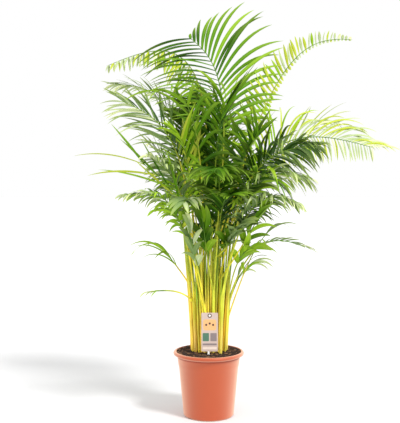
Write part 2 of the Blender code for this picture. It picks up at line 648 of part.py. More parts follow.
def is_free(shape, number, stems, fixed, placed):
    """Whether a leaflet of a frond is clear of every stem, leaflet and still piece."""
    (whole, outer), low, high = shape
    if outer.overlap(stems[number]) or any(whole.overlap(tree) for tree in fixed):
        return False
    if any(whole.overlap(tree) for k, tree in enumerate(stems) if k != number):
        return False
    for owner, (trees, lowest, highest) in placed:
        if (lowest < high).all() and (highest > low).all():
            own = owner == number
            if (outer if own else whole).overlap(trees[1 if own else 0]):
                return False
    return True


def grow_leaflets(number, frond, stems, fixed, placed):
    """Grow each leaflet that keeps clear of all that stands; vary it a little, or skip it."""
    grown = 0
    for slot in frond["slots"]:
        full = frond["leaf"] * leaf_share(KINDS[frond["kind"]], slot)
        for share, twist, pull in ATTEMPTS:
            rings, tip = leaf_rings(frond, slot, full * share, twist, pull, SPACE)
            if is_free(leaf_trees(rings, tip, slot["corners"]), number, stems, fixed, placed):
                break
        else:
            continue
        rings, tip = leaf_rings(frond, slot, full * share, twist, pull)
        placed.append((number, leaf_trees(rings, tip, slot["corners"])))
        face, old = slot["face"], slot["corners"]
        for ring in rings:
            face = extend(frond["mesh"], face, old, ring)
            old = ring
        point_end(frond["mesh"], face, tip)
        grown += 1
    return grown


def tree_of(item):
    graph = bpy.context.evaluated_depsgraph_get()
    return BVHTree.FromObject(item, graph)


def main():
    clear_scene()
    group = new_collection("potted_areca_palm")
    cutters = new_collection("cutters")
    still = [make_pot(group, cutters), make_soil(group, cutters), make_label(group)]
    still += [make_cane(number, group) for number in range(len(CANES))]
    bpy.context.view_layer.update()
    fixed = [tree_of(item) for item in still if item.type == "MESH"]
    fronds = plan_fronds()
    stems = [build_stem(frond) for frond in fronds]
    placed = []
    total = 0
    for number, frond in enumerate(fronds):
        total += grow_leaflets(number, frond, stems, fixed, placed)
        finished(frond["mesh"], f"frond_{number + 1:02d}", group, "leaf_" + frond["tint"])
    print(len(fronds), "fronds with", total, "leaflets")


main()
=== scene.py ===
import math
import bpy
import bmesh
import numpy as np
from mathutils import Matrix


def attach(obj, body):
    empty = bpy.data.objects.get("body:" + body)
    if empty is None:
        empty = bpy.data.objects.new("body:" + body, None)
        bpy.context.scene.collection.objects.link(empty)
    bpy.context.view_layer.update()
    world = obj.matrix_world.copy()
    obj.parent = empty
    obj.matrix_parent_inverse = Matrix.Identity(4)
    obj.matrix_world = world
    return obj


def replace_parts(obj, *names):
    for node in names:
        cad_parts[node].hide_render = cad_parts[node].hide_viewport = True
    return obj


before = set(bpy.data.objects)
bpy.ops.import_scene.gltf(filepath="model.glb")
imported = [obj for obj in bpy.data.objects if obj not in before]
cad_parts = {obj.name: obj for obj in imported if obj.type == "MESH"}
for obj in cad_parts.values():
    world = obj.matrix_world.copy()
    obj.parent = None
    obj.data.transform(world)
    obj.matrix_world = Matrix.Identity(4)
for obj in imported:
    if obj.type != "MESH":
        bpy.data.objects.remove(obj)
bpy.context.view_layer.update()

# Potted areca palm: the finish of a nursery pot, its soil, a clump of canes, feather fronds and a
# plant label. Metres, +Z up, the front faces -Y.


def tone(red, green, blue):
    # a screen colour from 0 to 255, made linear
    parts = [value / 255 for value in (red, green, blue)]
    return tuple(p / 12.92 if p < 0.04045 else ((p + 0.055) / 1.055) ** 2.4 for p in parts) + (1.0,)


# numpy surfaces

def gridFaces(rows, columns, copies=1, ring=False):
    # quads of a grid of rows x columns points, repeated; ring joins the last column to the first
    last = columns if ring else columns - 1
    r, c = np.meshgrid(np.arange(rows - 1), np.arange(last), indexing="ij")
    a = r * columns + c
    b = r * columns + (c + 1) % columns
    quads = np.stack([a, b, b + columns, a + columns], axis=-1).reshape(-1, 4)
    starts = np.arange(copies)[:, None, None] * rows * columns
    return (quads[None] + starts).reshape(-1, 4)


def gridUv(rows, columns, copies=1, ring=False):
    # the corner of each quad as (across, along), each from 0 to 1
    last = columns if ring else columns - 1
    r, c = np.meshgrid(np.arange(rows - 1), np.arange(last), indexing="ij")
    across = np.stack([c, c + 1, c + 1, c], axis=-1) / max(last, 1)
    along = np.stack([r, r, r + 1, r + 1], axis=-1) / (rows - 1)
    uv = np.stack([across, along], axis=-1).reshape(-1, 2)
    return np.tile(uv, (copies, 1))


def makePiece(name, points, quads, material, uv=None, merge=0.0):
    # points and quads go in as whole arrays; merge closes poles where a row ends in one place
    points = np.asarray(points, dtype=np.float32).reshape(-1, 3)
    mesh = bpy.data.meshes.new(name)
    mesh.vertices.add(len(points))
    mesh.vertices.foreach_set("co", points.ravel())
    mesh.loops.add(quads.size)
    mesh.loops.foreach_set("vertex_index", quads.ravel().astype(np.int32))
    mesh.polygons.add(len(quads))
    mesh.polygons.foreach_set("loop_start", (np.arange(len(quads)) * 4).astype(np.int32))
    if uv is not None:
        layer = mesh.uv_layers.new(name="surface")
        layer.data.foreach_set("uv", uv.astype(np.float32).ravel())
    mesh.update(calc_edges=True)
    if merge:
        bm = bmesh.new()
        bm.from_mesh(mesh)
        bmesh.ops.remove_doubles(bm, verts=bm.verts, dist=merge)
        bm.to_mesh(mesh)
        bm.free()
    mesh.validate()
    mesh.polygons.foreach_set("use_smooth", np.ones(len(mesh.polygons), dtype=bool))
    mesh.materials.append(material)
    piece = bpy.data.objects.new(name, mesh)
    bpy.context.scene.collection.objects.link(piece)
    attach(piece, "root")
    return piece


def unit(vectors):
    return vectors / np.maximum(np.linalg.norm(vectors, axis=-1, keepdims=True), 1e-12)


def tubePoints(lines, right, top, radii, sides):
    # circles of the given radius round each point of each line, in the plane of right and top
    turn = np.arange(sides) * 2 * np.pi / sides
    circle = (np.cos(turn)[:, None] * right[..., None, :] + np.sin(turn)[:, None] * top[..., None, :])
    return lines[..., None, :] + radii[..., None, None] * circle


# materials

def newGroup(name, inputs, outputs):
    group = bpy.data.node_groups.new(name, "ShaderNodeTree")
    for label, kind, value in inputs:
        socket = group.interface.new_socket(name=label, in_out="INPUT", socket_type=kind)
        if value is not None:
            socket.default_value = value
    for label, kind in outputs:
        group.interface.new_socket(name=label, in_out="OUTPUT", socket_type=kind)
    start = group.nodes.new("NodeGroupInput")
    end = group.nodes.new("NodeGroupOutput")
    return group, start, end


def mottleGroup():
    # two colours mixed by noise on Object coordinates, and a bump from finer noise
    group, start, end = newGroup("mottle", [
        ("First", "NodeSocketColor", (0.5, 0.5, 0.5, 1)), ("Second", "NodeSocketColor", (0.4, 0.4, 0.4, 1)),
        ("Patch Scale", "NodeSocketFloat", 20.0), ("Grain Scale", "NodeSocketFloat", 400.0),
        ("Bump", "NodeSocketFloat", 0.1), ("Depth", "NodeSocketFloat", 0.0005),
        ("Smooth", "NodeSocketFloat", 0.4), ("Rough", "NodeSocketFloat", 0.6),
    ], [("Colour", "NodeSocketColor"), ("Roughness", "NodeSocketFloat"), ("Normal", "NodeSocketVector")])
    place = group.nodes.new("ShaderNodeTexCoord")
    patch = group.nodes.new("ShaderNodeTexNoise")
    patch.inputs["Detail"].default_value = 4.0
    grain = group.nodes.new("ShaderNodeTexNoise")
    grain.inputs["Detail"].default_value = 6.0
    mix = group.nodes.new("ShaderNodeMix")
    mix.data_type = "RGBA"
    rough = group.nodes.new("ShaderNodeMapRange")
    bump = group.nodes.new("ShaderNodeBump")
    link = group.links.new
    link(place.outputs["Object"], patch.inputs["Vector"])
    link(place.outputs["Object"], grain.inputs["Vector"])
    link(start.outputs["Patch Scale"], patch.inputs["Scale"])
    link(start.outputs["Grain Scale"], grain.inputs["Scale"])
    link(patch.outputs["Fac"], mix.inputs["Factor"])
    link(start.outputs["First"], mix.inputs["A"])
    link(start.outputs["Second"], mix.inputs["B"])
    link(grain.outputs["Fac"], rough.inputs["Value"])
    link(start.outputs["Smooth"], rough.inputs["To Min"])
    link(start.outputs["Rough"], rough.inputs["To Max"])
    link(grain.outputs["Fac"], bump.inputs["Height"])
    link(start.outputs["Bump"], bump.inputs["Strength"])
    link(start.outputs["Depth"], bump.inputs["Distance"])
    link(mix.outputs["Result"], end.inputs["Colour"])
    link(rough.outputs["Result"], end.inputs["Roughness"])
    link(bump.outputs["Normal"], end.inputs["Normal"])
    return group


def leafGroup():
    # green with faint patches, a pale midrib, fine ribs along the blade, and a paler tip that is partly the
    # leaflet's own colour and partly painted glow of light through the thin tip, from the leaf's own UV
    group, start, end = newGroup("leafBlade", [
        ("Green", "NodeSocketColor", (0.1, 0.2, 0.03, 1)), ("Shade", "NodeSocketColor", (0.08, 0.16, 0.02, 1)),
        ("Midrib", "NodeSocketColor", (0.3, 0.4, 0.1, 1)), ("Tip Tone And Glow", "NodeSocketColor", (0.4, 0.5, 0.2, 1)),
    ], [("Colour", "NodeSocketColor"), ("Roughness", "NodeSocketFloat"), ("Normal", "NodeSocketVector")])
    place = group.nodes.new("ShaderNodeTexCoord")
    patch = group.nodes.new("ShaderNodeTexNoise")
    patch.inputs["Scale"].default_value = 14.0
    patch.inputs["Detail"].default_value = 3.0
    mix = group.nodes.new("ShaderNodeMix")
    mix.data_type = "RGBA"
    split = group.nodes.new("ShaderNodeSeparateXYZ")
    middle = group.nodes.new("ShaderNodeMath")
    middle.operation = "SUBTRACT"
    middle.inputs[1].default_value = 0.5
    apart = group.nodes.new("ShaderNodeMath")
    apart.operation = "ABSOLUTE"
    rib = group.nodes.new("ShaderNodeMapRange")
    rib.inputs["From Min"].default_value = 0.03
    rib.inputs["From Max"].default_value = 0.09
    rib.inputs["To Min"].default_value = 0.55
    rib.inputs["To Max"].default_value = 0.0
    ribMix = group.nodes.new("ShaderNodeMix")
    ribMix.data_type = "RGBA"
    # paler towards the tip: partly the leaflet's own colour, partly painted backlight glow through the thin tip
    outer = group.nodes.new("ShaderNodeMapRange")
    outer.inputs["From Min"].default_value = 0.4
    outer.inputs["To Max"].default_value = 0.7
    tipToneGlowMix = group.nodes.new("ShaderNodeMix")
    tipToneGlowMix.data_type = "RGBA"
    veins = group.nodes.new("ShaderNodeTexWave")
    veins.inputs["Scale"].default_value = 3.2
    veins.inputs["Distortion"].default_value = 0.4
    bump = group.nodes.new("ShaderNodeBump")
    bump.inputs["Strength"].default_value = 0.25
    bump.inputs["Distance"].default_value = 0.0003
    rough = group.nodes.new("ShaderNodeMapRange")
    rough.inputs["To Min"].default_value = 0.38
    rough.inputs["To Max"].default_value = 0.55
    link = group.links.new
    link(place.outputs["Object"], patch.inputs["Vector"])
    link(place.outputs["UV"], split.inputs["Vector"])
    link(place.outputs["UV"], veins.inputs["Vector"])
    link(split.outputs["X"], middle.inputs[0])
    link(middle.outputs[0], apart.inputs[0])
    link(apart.outputs[0], rib.inputs["Value"])
    link(patch.outputs["Fac"], mix.inputs["Factor"])
    link(start.outputs["Green"], mix.inputs["A"])
    link(start.outputs["Shade"], mix.inputs["B"])
    link(rib.outputs["Result"], ribMix.inputs["Factor"])
    link(mix.outputs["Result"], ribMix.inputs["A"])
    link(start.outputs["Midrib"], ribMix.inputs["B"])
    link(split.outputs["Y"], outer.inputs["Value"])
    link(outer.outputs["Result"], tipToneGlowMix.inputs["Factor"])
    link(ribMix.outputs["Result"], tipToneGlowMix.inputs["A"])
    link(start.outputs["Tip Tone And Glow"], tipToneGlowMix.inputs["B"])
    link(veins.outputs["Fac"], bump.inputs["Height"])
    link(patch.outputs["Fac"], rough.inputs["Value"])
    link(tipToneGlowMix.outputs["Result"], end.inputs["Colour"])
    link(rough.outputs["Result"], end.inputs["Roughness"])
    link(bump.outputs["Normal"], end.inputs["Normal"])
    return group


def stalkGroup():
    # from the foot's colour to the rib's along the stalk's own UV, broken by long streaks
    group, start, end = newGroup("stalkSkin", [
        ("Foot", "NodeSocketColor", (0.6, 0.5, 0.1, 1)), ("Rib", "NodeSocketColor", (0.3, 0.4, 0.1, 1)),
    ], [("Colour", "NodeSocketColor"), ("Roughness", "NodeSocketFloat"), ("Normal", "NodeSocketVector")])
    place = group.nodes.new("ShaderNodeTexCoord")
    split = group.nodes.new("ShaderNodeSeparateXYZ")
    share = group.nodes.new("ShaderNodeMapRange")
    share.inputs["From Min"].default_value = 0.35
    share.inputs["From Max"].default_value = 0.7
    mix = group.nodes.new("ShaderNodeMix")
    mix.data_type = "RGBA"
    streak = group.nodes.new("ShaderNodeMapping")
    streak.inputs["Scale"].default_value = (60.0, 60.0, 6.0)
    noise = group.nodes.new("ShaderNodeTexNoise")
    noise.inputs["Scale"].default_value = 2.0
    noise.inputs["Detail"].default_value = 4.0
    dim = group.nodes.new("ShaderNodeMapRange")
    dim.inputs["From Min"].default_value = 0.3
    dim.inputs["From Max"].default_value = 0.7
    dim.inputs["To Min"].default_value = 0.7
    dim.inputs["To Max"].default_value = 1.5
    shade = group.nodes.new("ShaderNodeVectorMath")
    shade.operation = "SCALE"
    bump = group.nodes.new("ShaderNodeBump")
    bump.inputs["Strength"].default_value = 0.15
    bump.inputs["Distance"].default_value = 0.0003
    rough = group.nodes.new("ShaderNodeMapRange")
    rough.inputs["To Min"].default_value = 0.35
    rough.inputs["To Max"].default_value = 0.5
    link = group.links.new
    link(place.outputs["UV"], split.inputs["Vector"])
    link(split.outputs["Y"], share.inputs["Value"])
    link(share.outputs["Result"], mix.inputs["Factor"])
    link(start.outputs["Foot"], mix.inputs["A"])
    link(start.outputs["Rib"], mix.inputs["B"])
    link(place.outputs["Object"], streak.inputs["Vector"])
    link(streak.outputs["Vector"], noise.inputs["Vector"])
    link(noise.outputs["Fac"], dim.inputs["Value"])
    link(mix.outputs["Result"], shade.inputs[0])
    link(dim.outputs["Result"], shade.inputs["Scale"])
    link(noise.outputs["Fac"], bump.inputs["Height"])
    link(noise.outputs["Fac"], rough.inputs["Value"])
    link(shade.outputs["Vector"], end.inputs["Colour"])
    link(rough.outputs["Result"], end.inputs["Roughness"])
    link(bump.outputs["Normal"], end.inputs["Normal"])
    return group


mottle = mottleGroup()
leafBlade = leafGroup()
stalkSkin = stalkGroup()


def surface(name, group, values, coat=0.0, shine=0.5, edge=None):
    # a Principled shader fed by one of the groups; edge is a painted rim reflection: a pale colour mixed into
    # the base colour where the surface turns away, as the square of its facing times the group's own mask
    material = bpy.data.materials.new(name)
    material.use_nodes = True
    nodes = material.node_tree.nodes
    shader = nodes["Principled BSDF"]
    shader.inputs["Coat Weight"].default_value = coat
    shader.inputs["Specular IOR Level"].default_value = shine
    effect = nodes.new("ShaderNodeGroup")
    effect.node_tree = group
    for label, value in values.items():
        effect.inputs[label].default_value = value
    link = material.node_tree.links.new
    colour = effect.outputs["Colour"]
    # painted rim reflection of the white surroundings, mixed into the base colour by facing
    if edge:
        away = nodes.new("ShaderNodeLayerWeight")
        square = nodes.new("ShaderNodeMath")
        square.operation = "POWER"
        square.inputs[1].default_value = 2.0
        spared = nodes.new("ShaderNodeMath")
        spared.operation = "MULTIPLY"
        paler = nodes.new("ShaderNodeMix")
        paler.data_type = "RGBA"
        paler.inputs["B"].default_value = edge
        link(away.outputs["Facing"], square.inputs[0])
        link(square.outputs[0], spared.inputs[0])
        link(effect.outputs["Painted Rim Mask"], spared.inputs[1])
        link(spared.outputs[0], paler.inputs["Factor"])
        link(colour, paler.inputs["A"])
        colour = paler.outputs["Result"]
    link(colour, shader.inputs["Base Color"])
    link(effect.outputs["Roughness"], shader.inputs["Roughness"])
    link(effect.outputs["Normal"], shader.inputs["Normal"])
    return material


def mottled(name, first, second, patch=20.0, grain=400.0, bump=0.1, depth=0.0005, smooth=0.4,
            rough=0.6, coat=0.0):
    return surface(name, mottle, {
        "First": tone(*first), "Second": tone(*second), "Patch Scale": patch, "Grain Scale": grain,
        "Bump": bump, "Depth": depth, "Smooth": smooth, "Rough": rough}, coat)


# camera, floor and light

view = dict(distance=2.35, height=0.70, left=-0.026, tilt=2.2, lens=67.3)


def setCamera():
    camera = bpy.data.objects.new("camera", bpy.data.cameras.new("camera"))
    bpy.context.scene.collection.objects.link(camera)
    camera.data.lens = view["lens"]
    camera.data.sensor_width = 36.0
    camera.location = (view["left"], -view["distance"], view["height"])
    camera.rotation_euler = (math.radians(90 - view["tilt"]), 0.0, 0.0)
    bpy.context.scene.camera = camera


def setFloor():
    mesh = bpy.data.meshes.new("floor")
    half = 30.0
    mesh.from_pydata([(-half, -half, 0), (half, -half, 0), (half, half, 0), (-half, half, 0)], [],
                     [(0, 1, 2, 3)])
    material = bpy.data.materials.new("floorWhite")
    material.use_nodes = True
    shader = material.node_tree.nodes["Principled BSDF"]
    shader.inputs["Base Color"].default_value = (0.74, 0.74, 0.74, 1)
    shader.inputs["Roughness"].default_value = 0.9
    mesh.materials.append(material)
    floor = bpy.data.objects.new("floor", mesh)
    bpy.context.scene.collection.objects.link(floor)


light = dict(keyPower=2.4, keyTurn=-46, keyHeight=45, keySoft=12, fillPower=0.7, fillTurn=-130,
             fillHeight=12, fillSoft=60, sky=1.0)


def setLight():
    # a soft sun from the right, a weak low one from the left and a white sky; the plain transform
    # keeps the floor white
    bpy.context.scene.view_settings.view_transform = "Standard"
    for name in ("key", "fill"):
        sun = bpy.data.objects.new(name, bpy.data.lights.new(name, "SUN"))
        sun.data.energy = light[name + "Power"]
        sun.data.angle = math.radians(light[name + "Soft"])
        sun.rotation_euler = (math.radians(90 - light[name + "Height"]), 0.0,
                              math.radians(90 + light[name + "Turn"]))
        bpy.context.scene.collection.objects.link(sun)
    world = bpy.data.worlds.new("studio")
    bpy.context.scene.world = world
    world.use_nodes = True
    background = world.node_tree.nodes["Background"]
    background.inputs["Color"].default_value = (1.0, 1.0, 1.0, 1)
    background.inputs["Strength"].default_value = light["sky"]


setCamera()
setFloor()
setLight()
print("stage set")

# pot

pot = dict(height=0.193, lip=0.1055, mouth=0.0975, lipHeight=0.013, neck=0.0936, stepHeight=0.148,
           stepDepth=0.0017, step=0.0889, foot=0.0755, footRound=0.006, wall=0.0023, floor=0.0035,
           steps=192, drains=(223.5, 343.5, 103.5), drainWidth=0.018, drainTop=0.0045)


def arcPoints(centre, height, radius, start, end, count):
    turn = np.radians(np.linspace(start, end, count))
    return np.stack([centre + radius * np.cos(turn), height + radius * np.sin(turn)], axis=1)


def turnedPoints(profile, steps):
    # a profile of (radius, height), run from the axis down its outer side, turned round Z
    turn = -np.arange(steps) * 2 * np.pi / steps
    r, z = profile[:, 0], profile[:, 1]
    return np.stack([r[:, None] * np.cos(turn), r[:, None] * np.sin(turn),
                     np.repeat(z[:, None], steps, axis=1)], axis=-1)


def potProfile():
    # floor, inner wall, rolled lip, groove, neck, soft step, tapered wall, round foot, underside
    p = pot
    bottom = p["height"] - p["lipHeight"]
    roll = 0.45 * p["lipHeight"]
    parts = [
        [(0, p["floor"]), (p["foot"] - p["wall"] - 0.004, p["floor"]), (p["foot"] - p["wall"], 0.0072)],
        [(p["step"] - p["wall"], p["stepHeight"] + 0.0008),
         (p["step"] + p["stepDepth"] - p["wall"], p["stepHeight"] + 0.0026)],
        [(p["neck"] - p["wall"], bottom - p["wall"]), (p["mouth"] - 0.0008, p["height"] - 0.0035)],
        arcPoints(p["mouth"] + 0.0012, p["height"] - 0.0014, 0.0014, 170, 90, 6),
        arcPoints(p["lip"] - roll, p["height"] - roll, roll, 88, -40, 14),
        [(p["neck"] + 0.0050, bottom + 0.0004), (p["neck"] + 0.0026, bottom + 0.0002),
         (p["neck"] + 0.0010, bottom - 0.0006), (p["neck"] + 0.0001, bottom - 0.0022)],
        [(p["step"] + p["stepDepth"] + 0.0005, p["stepHeight"] + 0.0080),
         (p["step"] + 0.9 * p["stepDepth"], p["stepHeight"] + 0.0045),
         (p["step"] + 0.5 * p["stepDepth"], p["stepHeight"] + 0.0010),
         (p["step"] + 0.1 * p["stepDepth"], p["stepHeight"] - 0.0025),
         (p["step"] - 0.0006, p["stepHeight"] - 0.0060)],
        arcPoints(p["foot"] - p["footRound"], p["footRound"], p["footRound"], 4, -90, 10),
        [(0.066, 0.0), (0.0645, 0.0006), (0.0, 0.0006)],
    ]
    return np.concatenate([np.asarray(part, float) for part in parts])


def drained(points):
    # lifts the outer edge of the underside at each drain, sloping down to nothing inwards
    turn = np.degrees(np.arctan2(points[..., 1], points[..., 0]))
    radius = np.hypot(points[..., 0], points[..., 1])
    half = math.degrees(pot["drainWidth"] / 2 / pot["foot"])
    near = [np.abs((turn - drain + 180) % 360 - 180) < half for drain in pot["drains"]]
    under = (np.arange(len(points)) > points[:, 0, 2].argmax())[:, None]
    lifted = pot["drainTop"] * np.clip((radius - 0.0700) / 0.002, 0, 1)
    cut = np.any(near, axis=0) & under & (points[..., 2] < lifted)
    points[..., 2] = np.where(cut, lifted, points[..., 2])
    return points


def potGroup():
    # faint patches, with painted shade as a darker band in the groove under the lip, by height, and a mask output
    # that keeps the painted rim reflection out of that band
    group, start, end = newGroup("potSkin", [
        ("First", "NodeSocketColor", (0.5, 0.2, 0.1, 1)), ("Second", "NodeSocketColor", (0.4, 0.2, 0.1, 1)),
        ("Groove Shade", "NodeSocketColor", (0.2, 0.06, 0.03, 1)), ("Groove", "NodeSocketFloat", 0.178),
        ("Reach", "NodeSocketFloat", 0.004),
    ], [("Colour", "NodeSocketColor"), ("Roughness", "NodeSocketFloat"), ("Normal", "NodeSocketVector"),
        ("Painted Rim Mask", "NodeSocketFloat")])
    place = group.nodes.new("ShaderNodeTexCoord")
    split = group.nodes.new("ShaderNodeSeparateXYZ")
    patch = group.nodes.new("ShaderNodeTexNoise")
    patch.inputs["Scale"].default_value = 9.0
    grain = group.nodes.new("ShaderNodeTexNoise")
    grain.inputs["Scale"].default_value = 900.0
    mix = group.nodes.new("ShaderNodeMix")
    mix.data_type = "RGBA"
    off = group.nodes.new("ShaderNodeMath")
    off.operation = "SUBTRACT"
    far = group.nodes.new("ShaderNodeMath")
    far.operation = "ABSOLUTE"
    share = group.nodes.new("ShaderNodeMapRange")
    share.inputs["To Min"].default_value = 1.0
    share.inputs["To Max"].default_value = 0.0
    # mask for the painted rim reflection: none in the groove band
    spared = group.nodes.new("ShaderNodeMath")
    spared.operation = "SUBTRACT"
    spared.inputs[0].default_value = 1.0
    # painted shade: the band colour mixed in over the patches in the groove under the lip
    grooveShadeMix = group.nodes.new("ShaderNodeMix")
    grooveShadeMix.data_type = "RGBA"
    rough = group.nodes.new("ShaderNodeMapRange")
    rough.inputs["To Min"].default_value = 0.42
    rough.inputs["To Max"].default_value = 0.55
    bump = group.nodes.new("ShaderNodeBump")
    bump.inputs["Strength"].default_value = 0.12
    bump.inputs["Distance"].default_value = 0.0002
    link = group.links.new
    link(place.outputs["Object"], split.inputs["Vector"])
    link(place.outputs["Object"], patch.inputs["Vector"])
    link(place.outputs["Object"], grain.inputs["Vector"])
    link(patch.outputs["Fac"], mix.inputs["Factor"])
    link(start.outputs["First"], mix.inputs["A"])
    link(start.outputs["Second"], mix.inputs["B"])
    link(split.outputs["Z"], off.inputs[0])
    link(start.outputs["Groove"], off.inputs[1])
    link(off.outputs[0], far.inputs[0])
    link(far.outputs[0], share.inputs["Value"])
    link(start.outputs["Reach"], share.inputs["From Max"])
    link(share.outputs["Result"], grooveShadeMix.inputs["Factor"])
    link(share.outputs["Result"], spared.inputs[1])
    link(spared.outputs[0], end.inputs["Painted Rim Mask"])
    link(mix.outputs["Result"], grooveShadeMix.inputs["A"])
    link(start.outputs["Groove Shade"], grooveShadeMix.inputs["B"])
    link(grain.outputs["Fac"], rough.inputs["Value"])
    link(grain.outputs["Fac"], bump.inputs["Height"])
    link(grooveShadeMix.outputs["Result"], end.inputs["Colour"])
    link(rough.outputs["Result"], end.inputs["Roughness"])
    link(bump.outputs["Normal"], end.inputs["Normal"])
    return group


# the band colour is painted shade in the groove under the lip
potPlastic = surface("potPlastic", potGroup(), {
    "First": tone(180, 80, 42), "Second": tone(170, 73, 37), "Groove Shade": tone(146, 50, 28),
    # edge: painted rim reflection, pale where the pot turns away
    "Groove": 0.1782, "Reach": 0.0050}, edge=tone(255, 208, 178))
potWall = makePiece("potWall", drained(turnedPoints(potProfile(), pot["steps"])),
                    gridFaces(len(potProfile()), pot["steps"], ring=True), potPlastic, merge=1e-6)
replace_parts(potWall, "pot")
print("pot made")

# soil

soil = dict(top=0.1925, flat=0.070, edge=0.1905, rim=0.0965, rows=70, columns=260, lump=0.0030, seed=11,
            crumbs=1500, chips=160)


def softNoise(x, y, scale, seed):
    # a sum of turned waves, smooth and without repeats over the pot
    rng = np.random.default_rng(seed)
    total = np.zeros_like(x)
    for octave in range(4):
        turn = rng.uniform(0, 2 * np.pi, 5)
        shift = rng.uniform(0, 2 * np.pi, 5)
        wave = scale * 1.9 ** octave
        for a, s in zip(turn, shift):
            total += np.sin(wave * (x * np.cos(a) + y * np.sin(a)) + s) / 1.6 ** octave
    return total / 8.0


def soilHeight(x, y):
    # flat in the middle, falling to the wall, with lumps
    r = np.hypot(x, y)
    fall = np.clip((r - soil["flat"]) / (soil["rim"] - soil["flat"]), 0, 1)
    base = soil["top"] + (soil["edge"] - soil["top"]) * fall ** 1.3
    lumps = softNoise(x, y, 210.0, soil["seed"]) + 0.5 * np.abs(softNoise(x, y, 620.0, soil["seed"] + 1))
    return base + soil["lump"] * lumps * 0.8


def smallLumps(name, places, sizes, squash, seed, material):
    # low balls of 4 x 6 quads, each stretched and turned its own way
    rng = np.random.default_rng(seed)
    rows, columns = 5, 6
    down = np.linspace(0, np.pi, rows)
    turn = np.arange(columns) * 2 * np.pi / columns
    ball = np.stack([np.sin(down)[:, None] * np.cos(turn), -np.sin(down)[:, None] * np.sin(turn),
                     np.cos(down)[:, None] * np.ones(columns)], axis=-1).reshape(-1, 3)
    n = len(places)
    stretch = rng.uniform(0.55, 1.3, (n, 3)) * np.array([1.0, 1.0, squash])
    bumps = rng.uniform(0.75, 1.2, (n, rows * columns, 1))
    bumps[:, :columns] = bumps[:, :1]
    bumps[:, -columns:] = bumps[:, -1:]
    local = ball[None] * bumps * stretch[:, None] * sizes[:, None, None]
    angle = rng.uniform(0, 2 * np.pi, n)
    c, s = np.cos(angle)[:, None], np.sin(angle)[:, None]
    x = local[..., 0] * c - local[..., 1] * s
    y = local[..., 0] * s + local[..., 1] * c
    points = np.stack([x, y, local[..., 2]], axis=-1) + places[:, None]
    return makePiece(name, points, gridFaces(rows, columns, n, ring=True), material, merge=1e-7)


def makeSoil():
    r = np.linspace(0, soil["rim"], soil["rows"])[::-1]
    turn = np.arange(soil["columns"]) * 2 * np.pi / soil["columns"]
    x, y = r[:, None] * np.cos(turn), r[:, None] * np.sin(turn)
    points = np.stack([x, y, soilHeight(x, y)], axis=-1)
    points[-1] = points[-1].mean(axis=0)
    ground = makePiece("soilGround", points, gridFaces(soil["rows"], soil["columns"], ring=True),
                       soilDark, merge=1e-7)
    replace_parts(ground, "soil")
    rng = np.random.default_rng(soil["seed"])
    for name, count, small, large, squash, material in (
            ("soilCrumbs", soil["crumbs"], 0.0010, 0.0034, 0.7, soilCrumb),
            ("soilChips", soil["chips"], 0.0020, 0.0072, 0.35, soilChip)):
        reach = soil["rim"] - 0.003
        r = reach * np.sqrt(rng.uniform(0, 1, count))
        a = rng.uniform(0, 2 * np.pi, count)
        x, y = r * np.cos(a), r * np.sin(a)
        places = np.stack([x, y, soilHeight(x, y) + 0.0004], axis=-1)
        lumps = smallLumps(name, places, rng.uniform(small, large, count), squash, count, material)


soilDark = mottled("soilDark", (34, 22, 18), (60, 40, 28), patch=120.0, grain=700.0, bump=0.8,
                   depth=0.002, smooth=0.9, rough=1.0)
soilCrumb = mottled("soilCrumb", (30, 20, 18), (72, 48, 34), patch=90.0, grain=900.0, bump=0.6,
                    depth=0.001, smooth=0.9, rough=1.0)
soilChip = mottled("soilChip", (72, 48, 34), (138, 98, 64), patch=45.0, grain=900.0, bump=0.5,
                   depth=0.001, smooth=0.8, rough=0.95)
makeSoil()
print("soil made")

# canes: the same places and sizes as the frame's cane nodes

caneTable = [  # x mm, y mm, height m, foot radius mm
    (-48, 18, 0.20, 5.8), (-30, 38, 0.22, 5.4), (34, -44, 0.17, 4.8), (44, 40, 0.06, 5.0),
    (-38, -22, 0.15, 4.6), (-10, -42, 0.11, 4.4), (12, -32, 0.19, 4.6), (-16, -8, 0.24, 4.8),
    (7, -7, 0.27, 5.0), (28, -10, 0.22, 4.6), (52, 4, 0.16, 4.6), (-22, 14, 0.28, 5.0),
    (4, 18, 0.25, 5.0), (24, 20, 0.27, 5.0), (-6, 48, 0.18, 4.6), (18, 54, 0.13, 4.6),
]
cane = dict(soil=0.192, gap=0.0003, tip=0.0052, swell=1.14, rings=64, sides=18, node=0.034,
            scar=0.07, sunk=0.006)


def caneFoot(number):
    x, y, height, radius = caneTable[number]
    return np.array([x / 1000, y / 1000, cane["soil"] + cane["gap"]])


def caneTip(number):
    x, y, height, radius = caneTable[number]
    return np.array([x * (1 + height) / 1000, y * (1 + height) / 1000, cane["soil"] + height])


def canePoints(number):
    # swollen just above the soil, then tapering, with a raised ring at each leaf scar
    foot, tip = caneFoot(number), caneTip(number)
    height = tip[2] - foot[2]
    radius = caneTable[number][3] / 1000
    share = np.linspace(-cane["sunk"] / height, 1.0, cane["rings"])
    size = np.interp(share, [0, 0.07, 0.28, 1.0],
                     [radius, radius * cane["swell"], radius * 0.96, cane["tip"]])
    along = (share * height + 0.011 * number) % cane["node"]
    size = size * (1 + cane["scar"] * np.exp(-((along - 0.5 * cane["node"]) / 0.0012) ** 2))
    line = foot + (tip - foot) * share[:, None]
    right = np.tile([1.0, 0.0, 0.0], (cane["rings"], 1))
    top = np.tile([0.0, 1.0, 0.0], (cane["rings"], 1))
    return tubePoints(line[None], right[None], top[None], size[None], cane["sides"])[0]


